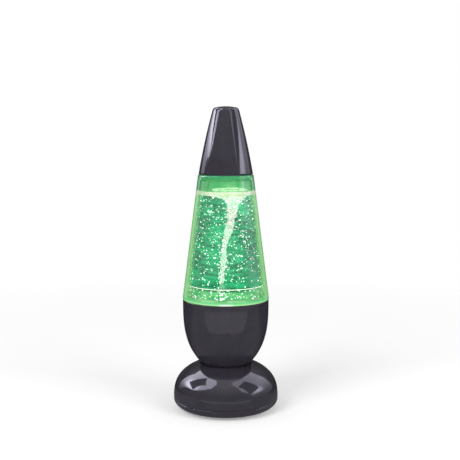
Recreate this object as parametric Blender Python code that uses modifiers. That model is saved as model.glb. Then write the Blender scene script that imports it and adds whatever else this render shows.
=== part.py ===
"""Tornado lamp: a battery lamp in which a magnet-driven impeller spins a vortex in a tall clear globe.

Metres, +Z up. The origin is on the table under the middle of the lamp, and the front faces -Y.
"""
import math

import bmesh
import bpy
from mathutils import Matrix, Vector

# Clearances
SEAT_GAP = 0.0003  # between two pieces that touch
CUT_OVERRUN = 0.001  # how far a cut runs past the face that it opens

# The lamp as a whole
TOTAL_HEIGHT = 0.2286
FOOT_PROUD = 0.001  # how far the rubber pads lift the foot off the table

# The foot: a dome that closes at its widest place on a dished base plate
BASE_RADIUS = 0.0397
BASE_FLAT_RADIUS = 0.0296
BASE_EDGE_HEIGHT = 0.00706
BASE_WALL = 0.0022
DOME_HEIGHT = 0.03068
DOME_RISE_EXPONENT = 2.907
DOME_ROUND_EXPONENT = 1.738
NECK_HEIGHT = 0.0345  # where the cup enters the dome, above the foot's underside
SPIGOT_LENGTH = 0.0022  # of the cup, inside the dome's socket
SOCKET_WEB = 0.0025

# The egg-shaped cup
CUP_RADIUS = 0.03245
CUP_RIM_HEIGHT = 0.0832
CUP_LENGTH = 0.06139
CUP_DROP_EXPONENT = 3.153
CUP_ROUND_EXPONENT = 1.217
CUP_WALL = 0.002
CUP_FLOOR = 0.0025
WIRE_HOLE_RADIUS = 0.006

# The globe, its floor and its filling plug
GLOBE_RADIUS = 0.0327
GLOBE_TOP_RADIUS = 0.0209
GLOBE_HEIGHT = 0.0935
GLOBE_WALL = 0.002
SHOULDER_ROUNDING = 0.001
NECK_CHAMFER = 0.001
NECK_RISE_SHARE = 0.3  # of the neck, up into the cap
FILL_HEIGHT = 0.0801
FILLER_RADIUS = 0.005
PLUG_HEAD_RADIUS = 0.0065
PLUG_HEAD_HEIGHT = 0.002
PLUG_STEM_LENGTH = 0.0042
PLUG_STEM_CHAMFER = 0.0008
GLOBE_FLOOR_RISE = 0.003
GLOBE_FLOOR_THICKNESS = 0.0025
GLOBE_SPIGOT_DEPTH = 0.005
GLOBE_SPIGOT_WALL = 0.002

# The vortex in the liquid: its air core leans to one side and winds once down the globe
VORTEX_CORE_RADIUS = 0.0035
VORTEX_SWAY = 0.0049
VORTEX_FLOOR_GAP = 0.004
VORTEX_MIN_WALL = 0.0025
VORTEX_MOUTH_SHARE = 2  # of the core's radius, above which the mouth opens and leans less
# shares of the way down, of the core's radius and of half a turn
VORTEX_SHARES = (
    (0.000, 4.95, 0.00),
    (0.025, 4.60, 0.00),
    (0.050, 3.40, 0.01),
    (0.085, 2.45, 0.03),
    (0.130, 1.60, 0.06),
    (0.180, 1.20, 0.12),
    (0.250, 1.00, 0.20),
    (0.330, 0.74, 0.31),
    (0.430, 0.70, 0.43),
    (0.540, 0.66, 0.53),
    (0.660, 0.58, 0.60),
    (0.780, 0.48, 0.66),
    (0.900, 0.56, 0.71),
    (1.000, 0.50, 0.72),
)

# The impeller under its guard
PIN_RADIUS = 0.001
PIN_CLEARANCE = 0.0003
PIN_SOCKET_DEPTH = 0.0012
IMPELLER_RADIUS = 0.0105
IMPELLER_THICKNESS = 0.0024
IMPELLER_LIFT = 0.0004
HUB_RADIUS = 0.0032
HUB_HEIGHT = 0.0016
BLADE_COUNT = 6
BLADE_TIP_RADIUS = 0.0135
BLADE_HEIGHT = 0.0024
BLADE_SINK = 0.0006
BLADE_THICKNESS = 0.0012
BLADE_SWEEP = math.radians(38)
BLADE_STEPS = 5
PIN_TOP_PROUD = 0.0003  # of the pin, above the hub
GUARD_WALL = 0.0012
GUARD_CLEARANCE = 0.0027  # of its ceiling, above the impeller
GUARD_EYE_RADIUS = 0.006
GUARD_SLOT_COUNT = 12
GUARD_SLOT_WIDTH = 0.0025
GUARD_SLOT_MARGIN = 0.003
GUARD_WINDOW_COUNT = 12
GUARD_WINDOW_WIDTH = 0.005
GUARD_WINDOW_MARGIN = 0.0014

# Magnets, in the impeller and in the carrier below the floor
MAGNET_RADIUS = 0.0022
MAGNET_RING_RADIUS = 0.006
IMPELLER_MAGNET_HEIGHT = 0.0014
DRIVE_MAGNET_HEIGHT = 0.0025

# The drive under the floor
CARRIER_RADIUS = 0.009
CARRIER_THICKNESS = 0.0038
CARRIER_FLOOR_GAP = 0.001
CARRIER_HUB_RADIUS = 0.003
CARRIER_HUB_LENGTH = 0.0022
CARRIER_BORE_CLOSURE = 0.0008
SHAFT_RADIUS = 0.001
SHAFT_CLEARANCE = 0.0003
SHAFT_DEPTH = 0.0075
MOTOR_RADIUS = 0.01
MOTOR_FLAT_WIDTH = 0.015
MOTOR_LENGTH = 0.022
MOTOR_EDGE = 0.001
MOTOR_BOSS_RADIUS = 0.003
MOTOR_BOSS_HEIGHT = 0.0018
MOTOR_CAP_THICKNESS = 0.0025
MOTOR_VENT_WIDTH = 0.004
MOTOR_VENT_HEIGHT = 0.006
TERMINAL_REACH = 0.005
TERMINAL_WIDTH = 0.0022
TERMINAL_LENGTH = 0.0025
TERMINAL_THICKNESS = 0.0006
MOTOR_SCREW_REACH = 0.0062

# The bracket and the light board
BRACKET_DROP = 0.0129  # of its underside, below the cup's rim
BRACKET_RADIUS = 0.028
BRACKET_THICKNESS = 0.002
BRACKET_POST_RADIUS = 0.003
BRACKET_POST_REACH = 0.0245
BRACKET_POST_COUNT = 3
BOARD_OUTER_RADIUS = 0.026
BOARD_INNER_RADIUS = 0.01
BOARD_THICKNESS = 0.0016
BOARD_PEG_REACH = 0.022
BOARD_PEG_RADIUS = 0.0022
BOARD_PEG_HEIGHT = 0.0024
BOARD_PEG_TIP_RADIUS = 0.0012
BOARD_PEG_TIP_PROUD = 0.0008
LED_COUNT = 4
LED_REACH = 0.018
LED_RADIUS = 0.0025
LED_FLANGE_RADIUS = 0.0029
LED_FLANGE_HEIGHT = 0.001
LED_HEIGHT = 0.0054
LED_DOME_STEPS = 3

# Screws
SCREW_CLEARANCE = 0.0003
PLASTIC_SCREW = {"head": 0.0024, "head_height": 0.0013, "shank": 0.0011}
SMALL_SCREW = {"head": 0.0018, "head_height": 0.001, "shank": 0.0009}
BRACKET_SCREW_LENGTH = 0.008
NECK_SCREW_LENGTH = 0.0095
BASE_SCREW_LENGTH = 0.011
DOOR_SCREW_LENGTH = 0.006
SWITCH_SCREW_LENGTH = 0.0032
MOTOR_SCREW_LENGTH = 0.0045
NECK_BOSS_REACH = 0.013
NECK_BOSS_RADIUS = 0.0028
NECK_BOSS_HEIGHT = 0.0062
NECK_SCREW_COUNT = 3

# The base plate and its battery compartment
PLATE_THICKNESS = 0.002
PLATE_LIP_WALL = 0.0014
PLATE_LIP_RISE = 0.0025
PLATE_TUBE_RADIUS = 0.0036
PLATE_TUBE_TOP = 0.008
PLATE_TUBE_WEB = 0.003
PLATE_SCREW_PLACES = ((0, -0.0245), (0.0092, 0.025), (-0.0092, 0.025))
CELL_LENGTH = 0.0445
CELL_RADIUS = 0.00525
CELL_PITCH = 0.011
CELL_NUB_RADIUS = 0.0019
CELL_NUB_LENGTH = 0.0008
CELL_EDGE = 0.0006
CELL_FLOOR_GAP = 0.0014
CELL_COUNT = 3
BAY_WALL = 0.0012
BAY_SIDE_GAP = 0.00075
BAY_HEAD_GAP = 0.0005
BAY_CEILING = 0.0014
BAY_RIB_WIDTH = 0.001
BAY_RIB_DEPTH = 0.0022
BAY_RIB_LENGTH = 0.03
CONTACT_ROOM = 0.0034
CONTACT_THICKNESS = 0.0004
CONTACT_WIDTH = 0.008
CONTACT_HEIGHT = 0.008
CONTACT_TAB_WIDTH = 0.003
CONTACT_TAB_PROUD = 0.0016
CONTACT_NUB_RADIUS = 0.002
SPRING_RADIUS = 0.0031
SPRING_TIP_RADIUS = 0.0021
SPRING_WIRE_RADIUS = 0.00025
SPRING_TURNS = 1.75
SPRING_STEPS = 9  # points to a turn

# The battery door
DOOR_LENGTH = 0.047
DOOR_THICKNESS = 0.0017
DOOR_EAR_RADIUS = 0.0045
DOOR_EAR_REACH = 0.0215
DOOR_EAR_THICKNESS = 0.0028
DOOR_HEAD_WEB = 0.0012
EAR_BOSS_WALL = 0.0009
EAR_BOSS_TOP = 0.0095
TONGUE_REACH = 0.012
TONGUE_WIDTH = 0.006
TONGUE_LENGTH = 0.002
TONGUE_THICKNESS = 0.001
TONGUE_ROOT = 0.0015
TONGUE_SWING = 0.0008
GRIP_COUNT = 4
GRIP_PITCH = 0.002
GRIP_WIDTH = 0.0008
GRIP_LENGTH = 0.01
GRIP_DEPTH = 0.0004
GRIP_REACH = 0.010

# The slide switch at the back of the foot
SWITCH_HEIGHT = 0.014  # of its middle, above the foot's underside
SWITCH_PAD_INSET = 0.0015  # of the flat round the window, from the foot's widest radius
SWITCH_PAD_WIDTH = 0.013
SWITCH_PAD_HEIGHT = 0.008
SWITCH_WINDOW_WIDTH = 0.009
SWITCH_WINDOW_HEIGHT = 0.0034
SWITCH_CAN_WIDTH = 0.0126
SWITCH_CAN_HEIGHT = 0.0054
SWITCH_CAN_DEPTH = 0.005
SWITCH_FLANGE_WIDTH = 0.0212
SWITCH_FLANGE_THICKNESS = 0.0005
SWITCH_SETBACK = 0.0051  # of its face, from the foot's widest radius
SWITCH_POST_REACH = 0.0085
SWITCH_POST_RADIUS = 0.002
SWITCH_PILOT_DEPTH = 0.0029
SWITCH_PIN_PITCH = 0.004
SWITCH_PIN_LENGTH = 0.0018
SWITCH_PIN_WIDTH = 0.001
SWITCH_TRAVEL = 0.004
KNOB_WIDTH = 0.0042
KNOB_HEIGHT = 0.0026
KNOB_INSET = 0.0002  # of its face, from the foot's widest radius
KNOB_HEEL_WIDTH = 0.0064
KNOB_HEEL_HEIGHT = 0.0044
KNOB_HEEL_THICKNESS = 0.001
KNOB_GROOVE_COUNT = 3
KNOB_GROOVE_PITCH = 0.0011
KNOB_GROOVE_WIDTH = 0.0005
KNOB_GROOVE_DEPTH = 0.0005

# The rubber pads and the leads
PAD_RADIUS = 0.003
PAD_PLACES = ((0.0165, 0.0205), (-0.0165, 0.0205), (0.0165, -0.0205), (-0.0165, -0.0205))
PAD_EDGE = 0.0003
LEAD_RADIUS = 0.0006
LEAD_POINTS = 16
# shares of a lead's start place that its knots on the way to the neck or the switch lie at
LEAD_SIDE_SHARE = 0.8
LEAD_INNER_SHARE = 0.3
LEAD_BACK_SHARES = (1.3, 1.7)  # of the cells' pitch, behind the last cell

# The cap
CAP_RADIUS = 0.02036
CAP_TOP_RADIUS = 0.0091
CAP_BULGE = 0.0007  # of its side beyond a straight taper, at half its height
CAP_ROUNDING = 0.0032
CAP_CROWN = 0.0007
CAP_WALL = 0.0018

# Counts of facets
LARGE_SEGMENTS = 36
MEDIUM_SEGMENTS = 24
SMALL_SEGMENTS = 12
SCREW_SEGMENTS = 8
POST_SEGMENTS = 10  # so that no edge of a post runs along an edge of the turned wall that it meets
DOME_STEPS = 8
CUP_STEPS = 8
INNER_STEPS = 4
EDGE_STEPS = 3
CAP_STEPS = 6
MERGE_DISTANCE = 0.000002

# Heights that follow from the sizes above
UNDERSIDE_Z = FOOT_PROUD
WIDEST_Z = UNDERSIDE_Z + BASE_EDGE_HEIGHT
PLATE_TOP_Z = UNDERSIDE_Z + PLATE_THICKNESS
NECK_Z = UNDERSIDE_Z + NECK_HEIGHT
CUP_BOTTOM_Z = NECK_Z - SPIGOT_LENGTH
SOCKET_FLOOR_Z = CUP_BOTTOM_Z - SEAT_GAP
SOCKET_UNDERSIDE_Z = SOCKET_FLOOR_Z - SOCKET_WEB
CUP_FLOOR_Z = CUP_BOTTOM_Z + CUP_FLOOR
RIM_Z = UNDERSIDE_Z + CUP_RIM_HEIGHT
GLOBE_BOTTOM_Z = RIM_Z + SEAT_GAP
SHOULDER_Z = GLOBE_BOTTOM_Z + GLOBE_HEIGHT
CAP_EDGE_Z = SHOULDER_Z + SEAT_GAP
CAP_HEIGHT = TOTAL_HEIGHT - CAP_EDGE_Z
GLOBE_TOP_Z = SHOULDER_Z + CAP_HEIGHT * NECK_RISE_SHARE
LIQUID_TOP_Z = GLOBE_BOTTOM_Z + FILL_HEIGHT
GLOBE_FLOOR_Z = GLOBE_BOTTOM_Z + GLOBE_FLOOR_RISE
GLOBE_FLOOR_UNDERSIDE_Z = GLOBE_FLOOR_Z - GLOBE_FLOOR_THICKNESS
IMPELLER_Z = GLOBE_FLOOR_Z + IMPELLER_LIFT
IMPELLER_TOP_Z = IMPELLER_Z + IMPELLER_THICKNESS
HUB_TOP_Z = IMPELLER_TOP_Z + HUB_HEIGHT
BLADE_TOP_Z = IMPELLER_TOP_Z - BLADE_SINK + BLADE_HEIGHT
GUARD_CEILING_Z = max(HUB_TOP_Z, BLADE_TOP_Z) + GUARD_CLEARANCE
GUARD_TOP_Z = GUARD_CEILING_Z + GUARD_WALL
BRACKET_Z = RIM_Z - BRACKET_DROP
BRACKET_TOP_Z = BRACKET_Z + BRACKET_THICKNESS
MOTOR_TOP_Z = BRACKET_Z - SEAT_GAP
MOTOR_BOTTOM_Z = MOTOR_TOP_Z - MOTOR_LENGTH
MOTOR_CAP_Z = MOTOR_BOTTOM_Z - SEAT_GAP
BOARD_Z = BRACKET_TOP_Z + BOARD_PEG_HEIGHT + SEAT_GAP
BOARD_TOP_Z = BOARD_Z + BOARD_THICKNESS
CARRIER_TOP_Z = GLOBE_FLOOR_UNDERSIDE_Z - CARRIER_FLOOR_GAP
CARRIER_Z = CARRIER_TOP_Z - CARRIER_THICKNESS
SHAFT_TOP_Z = CARRIER_TOP_Z - CARRIER_BORE_CLOSURE - SHAFT_CLEARANCE
SWITCH_Z = UNDERSIDE_Z + SWITCH_HEIGHT
SWITCH_FACE_Y = BASE_RADIUS - SWITCH_SETBACK
DOOR_TOP_Z = UNDERSIDE_Z + DOOR_THICKNESS
CELL_Z = DOOR_TOP_Z + CELL_FLOOR_GAP + CELL_RADIUS
BAY_HALF_WIDTH = (CELL_COUNT - 1) * CELL_PITCH / 2 + CELL_RADIUS + BAY_SIDE_GAP
BAY_HALF_LENGTH = CELL_LENGTH / 2 + CONTACT_ROOM + SEAT_GAP
BAY_CEILING_Z = CELL_Z + CELL_RADIUS + BAY_HEAD_GAP
BAY_TOP_Z = BAY_CEILING_Z + BAY_CEILING
CONTACT_X = BAY_HALF_LENGTH - SEAT_GAP - CONTACT_THICKNESS
DOOR_HALF_WIDTH = BAY_HALF_WIDTH
HINGE_Y = -DOOR_HALF_WIDTH - SEAT_GAP / 2


def start_scene():
    """Empties the scene and makes one collection for the lamp and one for its cutters."""
    for thing in list(bpy.data.objects):
        bpy.data.objects.remove(thing, do_unlink=True)
    for name in ("tornado_lamp", "cutters"):
        bpy.context.scene.collection.children.link(bpy.data.collections.new(name))


# Materials

def plastic(name, colour, roughness, metallic=0.0, alpha=1.0):
    """A Principled material: colour as red, green and blue from 0 to 1."""
    material = bpy.data.materials.new(name)
    material.use_nodes = True
    shader = material.node_tree.nodes["Principled BSDF"]
    shader.inputs["Base Color"].default_value = (*colour, 1)
    shader.inputs["Roughness"].default_value = roughness
    shader.inputs["Metallic"].default_value = metallic
    shader.inputs["Alpha"].default_value = alpha
    material.diffuse_color = (*colour, alpha)
    return material


def make_materials():
    """One material for each finish on the lamp."""
    return {
        "black_plastic": plastic("gloss_black_plastic", (0.022, 0.020, 0.026), 0.2),
        "dark_plastic": plastic("satin_dark_plastic", (0.03, 0.03, 0.032), 0.45),
        "clear_plastic": plastic("clear_plastic", (0.62, 0.85, 0.66), 0.05, alpha=0.35),
        "liquid": plastic("tinted_liquid", (0.08, 0.42, 0.24), 0.02, alpha=0.6),
        "white_plastic": plastic("white_plastic", (0.78, 0.78, 0.76), 0.4),
        "steel": plastic("steel", (0.55, 0.55, 0.56), 0.3, metallic=1.0),
        "magnet": plastic("nickel_magnet", (0.5, 0.49, 0.46), 0.25, metallic=1.0),
        "board": plastic("green_board", (0.02, 0.12, 0.05), 0.5),
        "led": plastic("clear_led", (0.85, 0.9, 0.88), 0.1, alpha=0.8),
        "cell_sleeve": plastic("cell_sleeve", (0.16, 0.17, 0.19), 0.35),
        "rubber": plastic("black_rubber", (0.02, 0.02, 0.02), 0.8),
        "red_lead": plastic("red_lead", (0.5, 0.02, 0.02), 0.4),
        "black_lead": plastic("black_lead", (0.015, 0.015, 0.015), 0.4),
    }


# Making shapes

def add_object(name, mesh, material=None, location=(0, 0, 0), rotation=(0, 0, 0)):
    """Puts a mesh in the lamp's collection, or among the cutters where it has no material."""
    thing = bpy.data.objects.new(name, mesh)
    thing.location = location
    thing.rotation_euler = rotation
    if material:
        mesh.materials.append(material)
        bpy.data.collections["tornado_lamp"].objects.link(thing)
    else:
        thing.hide_render = True
        thing.display_type = "WIRE"
        bpy.data.collections["cutters"].objects.link(thing)
    return thing


def turned(name, profile, material=None, segments=LARGE_SEGMENTS, closed=False, **place):
    """A turned solid: the profile of (radius, height) points runs down the outer side."""
    mesh = bpy.data.meshes.new(name)
    links = [(i, i + 1) for i in range(len(profile) - 1)]
    if closed:
        links.append((len(profile) - 1, 0))
    mesh.from_pydata([(radius, 0, height) for radius, height in profile], links, [])
    thing = add_object(name, mesh, material, **place)
    screw = thing.modifiers.new("turn", "SCREW")
    screw.angle = math.tau
    screw.steps = segments
    screw.render_steps = segments
    screw.use_merge_vertices = True
    screw.merge_threshold = MERGE_DISTANCE
    screw.use_smooth_shade = True
    return thing


def box(name, low, high, material=None, origin=(0, 0, 0)):
    """A box between two opposite corners, with its object's origin at the given point."""
    shape = bmesh.new()
    bmesh.ops.create_cube(shape, size=1)
    low, high, origin = Vector(low), Vector(high), Vector(origin)
    scale = Matrix.Diagonal((*(high - low), 1))
    bmesh.ops.transform(shape, matrix=Matrix.Translation((low + high) / 2 - origin) @ scale,
                        verts=shape.verts)
    mesh = bpy.data.meshes.new(name)
    shape.to_mesh(mesh)
    shape.free()
    return add_object(name, mesh, material, location=origin)


def rod(name, radius, start, end, material=None, segments=SMALL_SEGMENTS):
    """A round rod between two points."""
    start, end = Vector(start), Vector(end)
    shape = bmesh.new()
    bmesh.ops.create_cone(shape, cap_ends=True, segments=segments, radius1=radius, radius2=radius,
                          depth=(end - start).length)
    mesh = bpy.data.meshes.new(name)
    shape.to_mesh(mesh)
    shape.free()
    thing = add_object(name, mesh, material, location=(start + end) / 2)
    thing.rotation_euler = (end - start).to_track_quat("Z", "Y").to_euler()
    return thing


def combine(target, operation, other):
    """Adds one Boolean step to the target."""
    step = target.modifiers.new(other.name, "BOOLEAN")
    step.operation = operation
    step.object = other
    step.solver = "EXACT"


def cut(target, *cutters):
    for cutter in cutters:
        combine(target, "DIFFERENCE", cutter)


def join(target, *additions):
    for addition in additions:
        combine(target, "UNION", addition)


def wire(name, points, radius, material, resolution=1):
    """A wire along points, made a mesh with closed ends."""
    curve = bpy.data.curves.new(name, "CURVE")
    curve.dimensions = "3D"
    curve.bevel_depth = radius
    curve.bevel_resolution = resolution
    curve.use_fill_caps = True
    spline = curve.splines.new("POLY")
    spline.points.add(len(points) - 1)
    for point, place in zip(spline.points, points):
        point.co = (*place[:3], 1)
        point.radius = place[3] if len(place) > 3 else 1
    return meshed(name, curve, material)


def meshed(name, curve, material=None):
    """Turns a curve into a mesh object with its caps welded, and drops the curve."""
    source = bpy.data.objects.new(name + "_curve", curve)
    bpy.context.scene.collection.objects.link(source)
    bpy.context.view_layer.update()
    evaluated = source.evaluated_get(bpy.context.evaluated_depsgraph_get())
    mesh = bpy.data.meshes.new_from_object(evaluated)
    matrix = source.matrix_world.copy()
    bpy.data.objects.remove(source, do_unlink=True)
    shape = bmesh.new()
    shape.from_mesh(mesh)
    bmesh.ops.remove_doubles(shape, verts=shape.verts, dist=MERGE_DISTANCE)
    bmesh.ops.recalc_face_normals(shape, faces=shape.faces)
    shape.to_mesh(mesh)
    shape.free()
    mesh.name = name
    mesh.materials.clear()
    thing = add_object(name, mesh, material)
    thing.matrix_world = matrix
    return thing


def around(count, reach, start_angle=0.0):
    """Places on a circle: (x, y, angle)."""
    for i in range(count):
        angle = start_angle + math.tau * i / count
        yield reach * math.cos(angle), reach * math.sin(angle), angle


def hold(parent, *children):
    """Parents pieces to the empty on their joint's axis, where they stand."""
    for child in children:
        child.parent = parent
        child.matrix_parent_inverse = Matrix.Translation(-parent.location)


def axis_empty(name, location):
    empty = bpy.data.objects.new(name, None)
    empty.location = location
    bpy.data.collections["tornado_lamp"].objects.link(empty)
    return empty


# Curves of the turned forms

def egg_curve(radius, height, rise_exponent, round_exponent, end_share, steps):
    """Points (radius, distance along the axis) from the widest place to a share of the height."""
    end = math.asin(end_share ** (rise_exponent / 2))
    for i in range(steps + 1):
        angle = end * i / steps
        yield (radius * math.cos(angle) ** (2 / round_exponent),
               height * math.sin(angle) ** (2 / rise_exponent))


def egg_radius(radius, share, rise_exponent, round_exponent):
    return radius * (1 - share ** rise_exponent) ** (1 / round_exponent)


def egg_share(radius_share, rise_exponent, round_exponent):
    """The share of the height at which the curve has a share of its full radius."""
    return (1 - radius_share ** round_exponent) ** (1 / rise_exponent)


def dome_curve(inset, end_share, steps):
    """The foot's dome from its widest place up, set in by a wall."""
    return [(r, WIDEST_Z + h) for r, h in egg_curve(
        BASE_RADIUS - inset, DOME_HEIGHT - inset, DOME_RISE_EXPONENT, DOME_ROUND_EXPONENT,
        end_share, steps)]


def cup_curve(inset, end_z, steps):
    """The cup from its rim down to a height, set in by a wall."""
    length = CUP_LENGTH - inset
    return [(r, RIM_Z - h) for r, h in egg_curve(
        CUP_RADIUS - inset, length, CUP_DROP_EXPONENT, CUP_ROUND_EXPONENT,
        (RIM_Z - end_z) / length, steps)]


def dish_curve(steps):
    """The foot's lower edge, a quarter of an ellipse, from its widest place down."""
    across = BASE_RADIUS - BASE_FLAT_RADIUS
    points = []
    for i in range(steps + 1):
        angle = math.pi / 2 * i / steps
        points.append((BASE_FLAT_RADIUS + across * math.cos(angle),
                       WIDEST_Z - BASE_EDGE_HEIGHT * math.sin(angle)))
    return points


def globe_outer(z):
    """Radius of the globe's outer cone at a height."""
    share = (z - GLOBE_BOTTOM_Z) / (GLOBE_HEIGHT - SHOULDER_ROUNDING)
    return GLOBE_RADIUS + (GLOBE_TOP_RADIUS - GLOBE_RADIUS) * share


def globe_inner(z):
    return globe_outer(z) - GLOBE_WALL


def cap_outer(share):
    """Radius of the cap at a share of its height: a taper with a slight bulge."""
    straight = CAP_RADIUS + (CAP_TOP_RADIUS - CAP_RADIUS) * share
    return straight + 4 * CAP_BULGE * share * (1 - share)


def neck_outer(z):
    """Radius of the globe's neck, which fits the cap's inside."""
    return cap_outer((z - CAP_EDGE_Z) / CAP_HEIGHT) - CAP_WALL - SEAT_GAP


def globe_room():
    """The globe's inside from its wide end up: the cone, the turn under the shoulder, the neck."""
    turn_z = SHOULDER_Z - GLOBE_WALL
    return [
        (globe_inner(GLOBE_BOTTOM_Z), GLOBE_BOTTOM_Z),
        (globe_inner(turn_z - GLOBE_WALL), turn_z - GLOBE_WALL),
        (neck_outer(SHOULDER_Z) - GLOBE_WALL, turn_z),
        (neck_outer(GLOBE_TOP_Z) - GLOBE_WALL, GLOBE_TOP_Z - GLOBE_WALL),
    ]


def room_radius(z):
    """Radius of the globe's inside at a height."""
    corners = globe_room()
    for (low_r, low_z), (high_r, high_z) in zip(corners, corners[1:]):
        if z <= high_z:
            return low_r + (high_r - low_r) * (z - low_z) / (high_z - low_z)
    return corners[-1][0]


GUARD_RADIUS = room_radius(GUARD_TOP_Z) - SEAT_GAP
CUP_NECK_RADIUS = egg_radius(CUP_RADIUS, (RIM_Z - NECK_Z) / CUP_LENGTH, CUP_DROP_EXPONENT,
                             CUP_ROUND_EXPONENT)
SOCKET_RADIUS = CUP_NECK_RADIUS + SEAT_GAP


# The cap, the globe and what it holds

def make_cap(looks):
    side_share = 1 - CAP_ROUNDING / CAP_HEIGHT
    side_top = cap_outer(side_share)
    centre_r = side_top - CAP_ROUNDING
    centre_z = TOTAL_HEIGHT - CAP_CROWN - CAP_ROUNDING
    profile = [(0, TOTAL_HEIGHT)]
    for i in range(EDGE_STEPS + 1):
        angle = math.pi / 2 * (1 - i / EDGE_STEPS)
        profile.append((centre_r + CAP_ROUNDING * math.cos(angle),
                        centre_z + CAP_ROUNDING * math.sin(angle)))
    low_share = (centre_z - CAP_EDGE_Z) / CAP_HEIGHT
    outer = [low_share * (1 - i / CAP_STEPS) for i in range(1, CAP_STEPS + 1)]
    profile += [(cap_outer(s), CAP_EDGE_Z + CAP_HEIGHT * s) for s in outer]
    ceiling_share = 1 - (CAP_CROWN + CAP_WALL) / CAP_HEIGHT
    inner = [ceiling_share * i / INNER_STEPS for i in range(INNER_STEPS + 1)]
    profile += [(cap_outer(s) - CAP_WALL, CAP_EDGE_Z + CAP_HEIGHT * s) for s in inner]
    profile.append((0, CAP_EDGE_Z + CAP_HEIGHT * ceiling_share))
    turned("cap", profile, looks["black_plastic"])


def make_globe(looks):
    """The clear vessel: a tapered wall, a shoulder and a closed neck with the filling hole."""
    neck_top = neck_outer(GLOBE_TOP_Z)
    shoulder_low = SHOULDER_Z - SHOULDER_ROUNDING
    profile = [
        (FILLER_RADIUS, GLOBE_TOP_Z),
        (neck_top - NECK_CHAMFER, GLOBE_TOP_Z),
        (neck_top, GLOBE_TOP_Z - NECK_CHAMFER),
        (neck_outer(SHOULDER_Z), SHOULDER_Z),
        (GLOBE_TOP_RADIUS - SHOULDER_ROUNDING, SHOULDER_Z),
        (GLOBE_TOP_RADIUS - SHOULDER_ROUNDING * (1 - math.cos(math.pi / 4)),
         shoulder_low + SHOULDER_ROUNDING * math.sin(math.pi / 4)),
        (GLOBE_TOP_RADIUS, shoulder_low),
        (GLOBE_RADIUS, GLOBE_BOTTOM_Z),
    ]
    profile += globe_room()
    profile.append((FILLER_RADIUS, GLOBE_TOP_Z - GLOBE_WALL))
    turned("globe", profile, looks["clear_plastic"], closed=True)


def make_filler_plug(looks):
    head_low = GLOBE_TOP_Z + SEAT_GAP
    stem = FILLER_RADIUS - SEAT_GAP
    end = head_low - PLUG_STEM_LENGTH
    profile = [
        (0, head_low + PLUG_HEAD_HEIGHT),
        (PLUG_HEAD_RADIUS - PLUG_STEM_CHAMFER, head_low + PLUG_HEAD_HEIGHT),
        (PLUG_HEAD_RADIUS, head_low + PLUG_HEAD_HEIGHT - PLUG_STEM_CHAMFER),
        (PLUG_HEAD_RADIUS, head_low),
        (stem, head_low),
        (stem, end + PLUG_STEM_CHAMFER),
        (stem - PLUG_STEM_CHAMFER, end),
        (0, end),
    ]
    turned("filler_plug", profile, looks["rubber"], segments=SMALL_SEGMENTS)


def make_globe_floor(looks):
    """The clear plug of the globe's wide end: a floor with the impeller pin's socket, and a skirt
    that centres the globe in the cup."""
    skirt = CUP_RADIUS - CUP_WALL - SEAT_GAP
    skirt_end = GLOBE_BOTTOM_Z - GLOBE_SPIGOT_DEPTH
    socket = PIN_RADIUS + PIN_CLEARANCE
    profile = [
        (0, GLOBE_FLOOR_Z - PIN_SOCKET_DEPTH),
        (socket, GLOBE_FLOOR_Z - PIN_SOCKET_DEPTH),
        (socket, GLOBE_FLOOR_Z),
        (globe_inner(GLOBE_FLOOR_Z) - SEAT_GAP, GLOBE_FLOOR_Z),
        (skirt, GLOBE_BOTTOM_Z),
        (skirt, skirt_end),
        (skirt - GLOBE_SPIGOT_WALL, skirt_end),
        (skirt - GLOBE_SPIGOT_WALL, GLOBE_FLOOR_UNDERSIDE_Z),
        (0, GLOBE_FLOOR_UNDERSIDE_Z),
    ]
    turned("globe_floor", profile, looks["clear_plastic"])


def vortex_path():
    """The air core's middle line with its radius, from above the surface to its foot."""
    foot_z = GUARD_TOP_Z + VORTEX_FLOOR_GAP
    drop = LIQUID_TOP_Z - foot_z
    points = []
    for down_share, radius_share, turn_share in VORTEX_SHARES:
        angle = math.pi * turn_share
        z = LIQUID_TOP_Z - drop * down_share
        sway = VORTEX_SWAY * VORTEX_MOUTH_SHARE / max(radius_share, VORTEX_MOUTH_SHARE)
        widest = room_radius(z) - SEAT_GAP - VORTEX_MIN_WALL - sway
        radius = min(VORTEX_CORE_RADIUS * radius_share, widest)
        points.append((sway * math.cos(angle), -sway * math.sin(angle), z, radius))
    top = points[0]
    return [(top[0], top[1], top[2] + CUT_OVERRUN, top[3])] + points


def make_liquid(looks):
    """The liquid from the impeller's guard up, with the vortex cut out of it."""
    low_z = GUARD_TOP_Z + SEAT_GAP
    bends = [(r - SEAT_GAP, z) for r, z in globe_room()[::-1] if low_z < z < LIQUID_TOP_Z]
    profile = [(0, LIQUID_TOP_Z), (room_radius(LIQUID_TOP_Z) - SEAT_GAP, LIQUID_TOP_Z)] + bends
    profile += [(room_radius(low_z) - SEAT_GAP, low_z), (0, low_z)]
    liquid = turned("liquid", profile, looks["liquid"])
    cut(liquid, lofted("vortex_core", vortex_path(), MEDIUM_SEGMENTS))


def lofted(name, path, segments):
    """A loft through level circles: the path gives each one's middle and radius, from the top."""
    shape = bmesh.new()
    previous = None
    for i, (x, y, z, radius) in enumerate(path):
        ring = bmesh.ops.create_circle(shape, segments=segments, radius=radius,
                                       cap_ends=i in (0, len(path) - 1),
                                       matrix=Matrix.Translation((x, y, z)))["verts"]
        edges = [edge for edge in shape.edges if all(vert in ring for vert in edge.verts)]
        if previous:
            bmesh.ops.bridge_loops(shape, edges=previous + edges)
        previous = edges
    bmesh.ops.recalc_face_normals(shape, faces=shape.faces)
    mesh = bpy.data.meshes.new(name)
    shape.to_mesh(mesh)
    shape.free()
    return add_object(name, mesh)


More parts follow.
